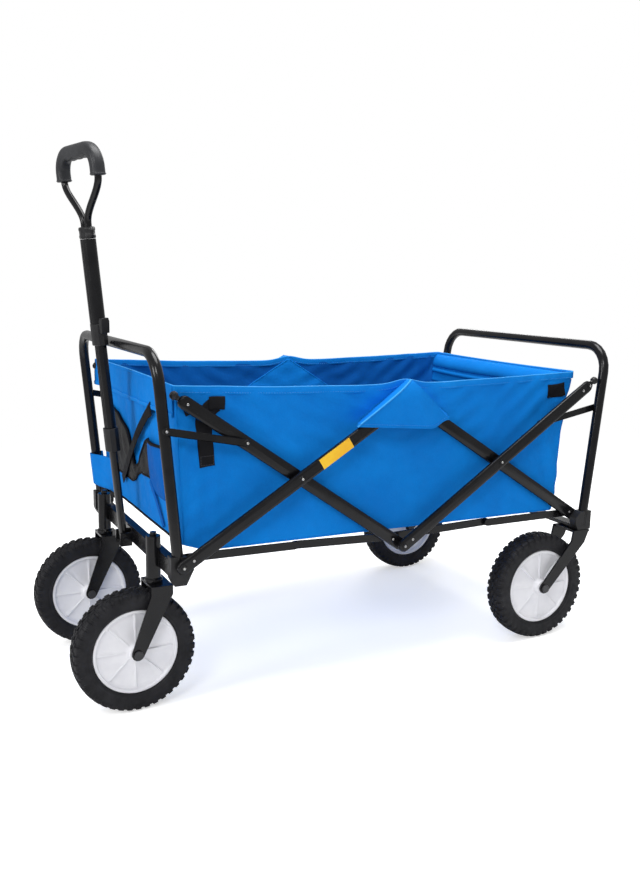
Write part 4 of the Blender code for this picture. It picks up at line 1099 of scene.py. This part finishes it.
def front_pocket():
    def pocket(s, t):
        puff = math.sin(math.pi * s) ** 0.6 * math.sin(math.pi * (0.04 + 0.60 * t)) if 0 < s < 1 else 0.0
        return on_front(0.084 + 0.076 * s, 0.318 + 0.0880 * t, 1.2 + 6.5 * puff)

    rows = sheet(24, 24, pocket)
    # The pocket is cut from the darker blue, which is painted shade.
    soft("front_pocket", *grid_mesh(rows), BLUE_PAINTED_SHADE, thickness=0.9 * MM)
    soft("pocket_elastic", *tube([row[-1] for row in rows], 2.8 * MM), WEBBING)


def front_straps():
    front_ribbon("front_strap", 18 * MM, ((0.121, 0.4625, 6.5), (0.085, 0.4400, 7.2), (0.040, 0.4060, 7.6),
                                          (-0.020, 0.3580, 7.4), (-0.0865, 0.3045, 4.0)))
    # The tape is in the darker blue, which is painted shade.
    front_ribbon("front_tape", 9 * MM, ((0.0943, 0.3379, 3.4), (0.122, 0.3060, 3.0), (0.1488, 0.2722, 2.0)),
                 BLUE_PAINTED_SHADE, "blue_fabric", 6)
    front_ribbon("front_strap_tab", 20 * MM,
                 ((0.112, 0.4700, 4.6), (0.117, 0.4620, 6.2), (0.121, 0.4500, 6.0)), steps=0)


# (x, y) of the cloth's path round the far post, seen from above
WRAP = ((-0.1500, -0.3990), (-0.1900, -0.4050), (-0.2260, -0.4175), (-0.2360, -0.4203), (-0.2450, -0.4205),
        (-0.2515, -0.4180), (-0.2552, -0.4125), (-0.2552, -0.4062), (-0.2500, -0.4000), (-0.2400, -0.3950))


def post_wrap():
    """Lower front corner of the cloth, taken round the far post."""
    plan = smooth_line(WRAP, 5)
    last = len(plan) - 1
    lean = (FRONT_TOP_Y - FRONT_BOTTOM_Y) / (TOP_Z - FLOOR_Z) * 2.1

    def wrapped(s, t):
        p = plan[round(s * last)]
        z = 0.261 + 0.070 * t - 0.010 * math.sin(math.pi * s) * (t - 0.5)
        ripple = 0.7 * MM * wave(p.x, z, 0.4, 1.0, 0.030, 2.0, 0.01) * (1 if p.x > -0.235 else 0.2)
        return Vector((p.x, p.y + (z - 0.296) * lean - ripple, z))

    soft("post_wrap", *grid_mesh(sheet(last, 14, wrapped)), BLUE, thickness=1.0 * MM)


# ---------------------------------------------------------------- webbing on the side walls
# (y, z) points along each strap, its width and how far it lies off the wall, in mm
SIDE_STRAPS = (
    (((-0.3510, 0.3850), (-0.3530, 0.4100), (-0.3555, 0.4400), (-0.3565, 0.4600), (-0.3490, 0.4740),
      (-0.3380, 0.4830)), 26, 1.0),
    (((-0.3490, 0.4845), (-0.3360, 0.4850), (-0.3232, 0.4845)), 21, 2.0),
    (((0.3196, 0.4795), (0.3330, 0.4800), (0.3480, 0.4815), (0.3600, 0.4835)), 25, 1.1),
    (((-0.3900, 0.4770), (-0.3820, 0.4800), (-0.3740, 0.4830)), 24, 1.0),
)
STITCH_BOX = ((-0.3625, 0.3880), (-0.3405, 0.3880), (-0.3405, 0.4020), (-0.3625, 0.4020), (-0.3625, 0.3880))


def side_webbing(side, name):
    """Black webbing on a side wall: a strap at the front with its tab, and a tab at each end."""
    def on_side(y, z, lift):
        return Vector((side * (WALL_X + side_relief(side, y, z) + lift * MM), y, z))

    parts = []
    for spots, width, lift in SIDE_STRAPS:
        line, rows = smooth_line(spots, 8), []
        for i, point in enumerate(line):
            way = (line[min(i + 1, len(line) - 1)] - line[max(i - 1, 0)]).normalized()
            across = Vector((-way.y, way.x)) * width * MM
            spots_across = [point + across * (k / 8 - 0.5) for k in range(9)]
            rows.append([on_side(p.x, p.y, lift) for p in spots_across])
        parts.append(grid_mesh(rows))
    soft(f"side_webbing_{name}", *merged(parts), WEBBING, "board_fabric", thickness=1.1 * MM)
    box = [on_side(y, z, 1.9) for y, z in STITCH_BOX]
    soft(f"strap_stitches_{name}", *stitches(box, SIDEWAYS * side), THREAD_BLACK, "board_fabric")


# ---------------------------------------------------------------- base board
BOARD_PANELS = 4
BOARD_CORNER = 10 * MM


def base_board():
    """Padded board in four panels: covered top with seams between them, and a bound edge."""
    low, high = node_box("base_board")
    half_x, half_y = high.x - 0.5 * MM, (high.y - low.y) / 2 - 0.5 * MM
    across, length = 72, 120

    def fall(x, y):
        """How far the cover falls away near the board's edge."""
        edge = min(half_x - abs(x), half_y - abs(y))
        return edge, 3.0 * MM * (1 - smooth_step(edge, 0.0, 8 * MM)) ** 2

    def over(s, t):
        x, y = half_x * (2 * t - 1), half_y * (2 * s - 1)
        edge, round_off = fall(x, y)
        panel = (s * BOARD_PANELS) % 1.0
        seam = min(panel, 1 - panel) * 2 * half_y / BOARD_PANELS
        groove = 1.9 * MM * math.exp(-(seam / (4.5 * MM)) ** 2) if 0 < s < 1 else 0.0
        pad = 0.5 * MM * cloth_noise(x, y, 0.0, 22.0, 7.0) if edge >= 2 * MM else 0.0
        return Vector((x, y, high.z - 0.4 * MM - round_off - groove + pad))

    def under(s, t):
        x, y = half_x * (2 * t - 1), half_y * (2 * s - 1)
        return Vector((x, y, low.z + 0.4 * MM + 0.5 * fall(x, y)[1]))

    verts, faces = merged([grid_mesh(sheet(length, across, over)),
                           flipped(*grid_mesh(sheet(length, across, under)))])
    base, wide = len(verts) // 2, across + 1
    rim = list(range(wide)) + [j * wide + across for j in range(1, length + 1)]
    rim += [length * wide + i for i in range(across - 1, -1, -1)]
    rim += [j * wide for j in range(length - 1, 0, -1)]
    faces += [(a, b, base + b, base + a) for a, b in zip(rim, rim[1:] + rim[:1])]
    soft("board_cover", verts, faces, BOARD, "board_fabric", instead_of="base_board")

    path = []
    reach_x, reach_y = half_x - 1.4 * MM - BOARD_CORNER, half_y - 1.4 * MM - BOARD_CORNER
    for x_sign, y_sign, start in ((1, -1, -90), (1, 1, 0), (-1, 1, 90), (-1, -1, 180)):
        for turn in (math.radians(start + 15 * k) for k in range(7)):
            path.append(Vector((x_sign * reach_x + BOARD_CORNER * math.cos(turn),
                                y_sign * reach_y + BOARD_CORNER * math.sin(turn),
                                (high.z + low.z) / 2 - 0.6 * MM)))
    path = resample(path + path[:1], 8 * MM)[:-1]
    section = rounded_section(-1.2 * MM, 1.6 * MM, -3.4 * MM, 3.4 * MM, 1.1 * MM, 2)
    binding = sweep(path, *directions(path, UP, closed=True), section, closed=True)
    soft("board_binding", *binding, WEBBING, "board_fabric")
    lines = []
    for k in range(1, BOARD_PANELS):
        for offset in (-6 * MM, 6 * MM):
            y, z = half_y * (2 * k / BOARD_PANELS - 1) + offset, high.z - 0.75 * MM
            lines.append(stitches([Vector((x, y, z)) for x in (8 * MM - half_x, half_x - 8 * MM)], UP))
    soft("board_stitches", *merged(lines), THREAD_BLACK, "board_fabric")


def soft_goods():
    basket_shell()
    hem_and_seams()
    rear_folds()
    front_valance()
    front_netting()
    front_pocket()
    front_straps()
    post_wrap()
    base_board()
    for name, side in SIDES:
        flap(side, name)
        wall_patch(side, name)
        side_webbing(side, name)


# ---------------------------------------------------------------- floor, light and camera
FLOOR_REACH = 14.0
FADE_START, FADE_END = 1.0, 2.4  # how far from the cart the floor starts and ends its fade
# name, place, target, width and power
LAMPS = (
    ("key", (2.1, -1.7, 2.3), (0.0, 0.0, 0.35), 0.9, 30.0),
    ("top", (0.2, 0.3, 2.6), (0.0, 0.0, 0.3), 1.6, 52.0),
    ("front", (0.4, -3.0, 1.4), (0.0, 0.0, 0.4), 1.0, 28.0),
    ("back", (-2.2, 1.8, 1.8), (0.0, 0.0, 0.4), 1.4, 20.0),
)
CAMERA_PLACE = (1.576, -0.840, 0.6775)           # in the side frame's space, like its angles
CAMERA_ANGLES = (62.973, 9.635, 1.2566)          # azimuth, elevation and roll


def camera_share(owner, on_camera, elsewhere):
    """A value that differs for what the camera sees directly and for light that falls on things."""
    seen = node(owner, "ShaderNodeLightPath").outputs["Is Camera Ray"]
    return node(owner, "ShaderNodeMapRange", Value=seen, To_Min=elsewhere, To_Max=on_camera).outputs[0]


def floor_look():
    """White paper floor that melts into the background away from the cart."""
    look = new_look("floor_white", (0.90, 0.90, 0.90), 0.9)
    shader_of(look).inputs["Specular IOR Level"].default_value = 0.1
    shader_of(look).inputs["Emission Color"].default_value = (1.0, 1.0, 1.0, 1.0)
    feed(look, camera_share(look, 0.50, 0.0), "Emission Strength")
    length = node(look, "ShaderNodeVectorMath", {"operation": "LENGTH"}, i0=place_of(look))
    fade = node(look, "ShaderNodeMapRange", {"interpolation_type": "SMOOTHSTEP"},
                Value=length.outputs["Value"], From_Min=FADE_START, From_Max=FADE_END)
    clear = node(look, "ShaderNodeBsdfTransparent")
    show(look, node(look, "ShaderNodeMixShader", i0=fade.outputs[0], i1=shader_of(look).outputs[0],
                    i2=clear.outputs[0]))
    return look


def staged(name, data):
    """An object of the studio, which isn't part of the cart."""
    made = bpy.data.objects.new(name, data)
    bpy.context.scene.collection.objects.link(made)
    return made


def studio():
    """White floor and a soft light from above and from the handle's side."""
    world = bpy.data.worlds.new("studio")
    world.use_nodes = True
    background = world.node_tree.nodes["Background"]
    background.inputs["Color"].default_value = (1.0, 1.0, 1.0, 1.0)
    world.node_tree.links.new(camera_share(world, 1.0, 0.50), background.inputs["Strength"])
    bpy.context.scene.world = world
    mesh = bpy.data.meshes.new("floor")
    corners = [(FLOOR_REACH * x, FLOOR_REACH * y, 0) for x, y in ((-1, -1), (1, -1), (1, 1), (-1, 1))]
    mesh.from_pydata(corners, [], [(0, 1, 2, 3)])
    mesh.materials.append(floor_look())
    staged("floor", mesh)
    for name, place, target, width, power in LAMPS:
        data = bpy.data.lights.new(name, "AREA")
        data.shape = "DISK"
        data.size = width
        data.energy = power
        lamp = staged(name, data)
        lamp.location = place
        lamp.rotation_euler = (Vector(target) - Vector(place)).to_track_quat("-Z", "Y").to_euler()


def camera():
    azimuth, elevation, roll = [math.radians(angle) for angle in CAMERA_ANGLES]
    turn = (Matrix.Rotation(azimuth, 4, "Z") @ Matrix.Rotation(math.pi / 2 - elevation, 4, "X")
            @ Matrix.Rotation(roll, 4, "Z"))
    data = bpy.data.cameras.new("photo_angle")
    data.lens = 38.285
    data.sensor_width = 36.0
    data.clip_end = 60.0
    made = bpy.data.objects.new("photo_angle", data)
    made.matrix_world = STANCE @ Matrix.Translation(CAMERA_PLACE) @ turn
    bpy.context.scene.collection.objects.link(made)
    bpy.context.scene.camera = made


dress_all()
wheels()
handle_loop()
handle_grip()
handle_collar()
handle_tubes()
rivets()
label()
soft_goods()
studio()
camera()
bpy.context.scene.view_settings.view_transform = "Standard"
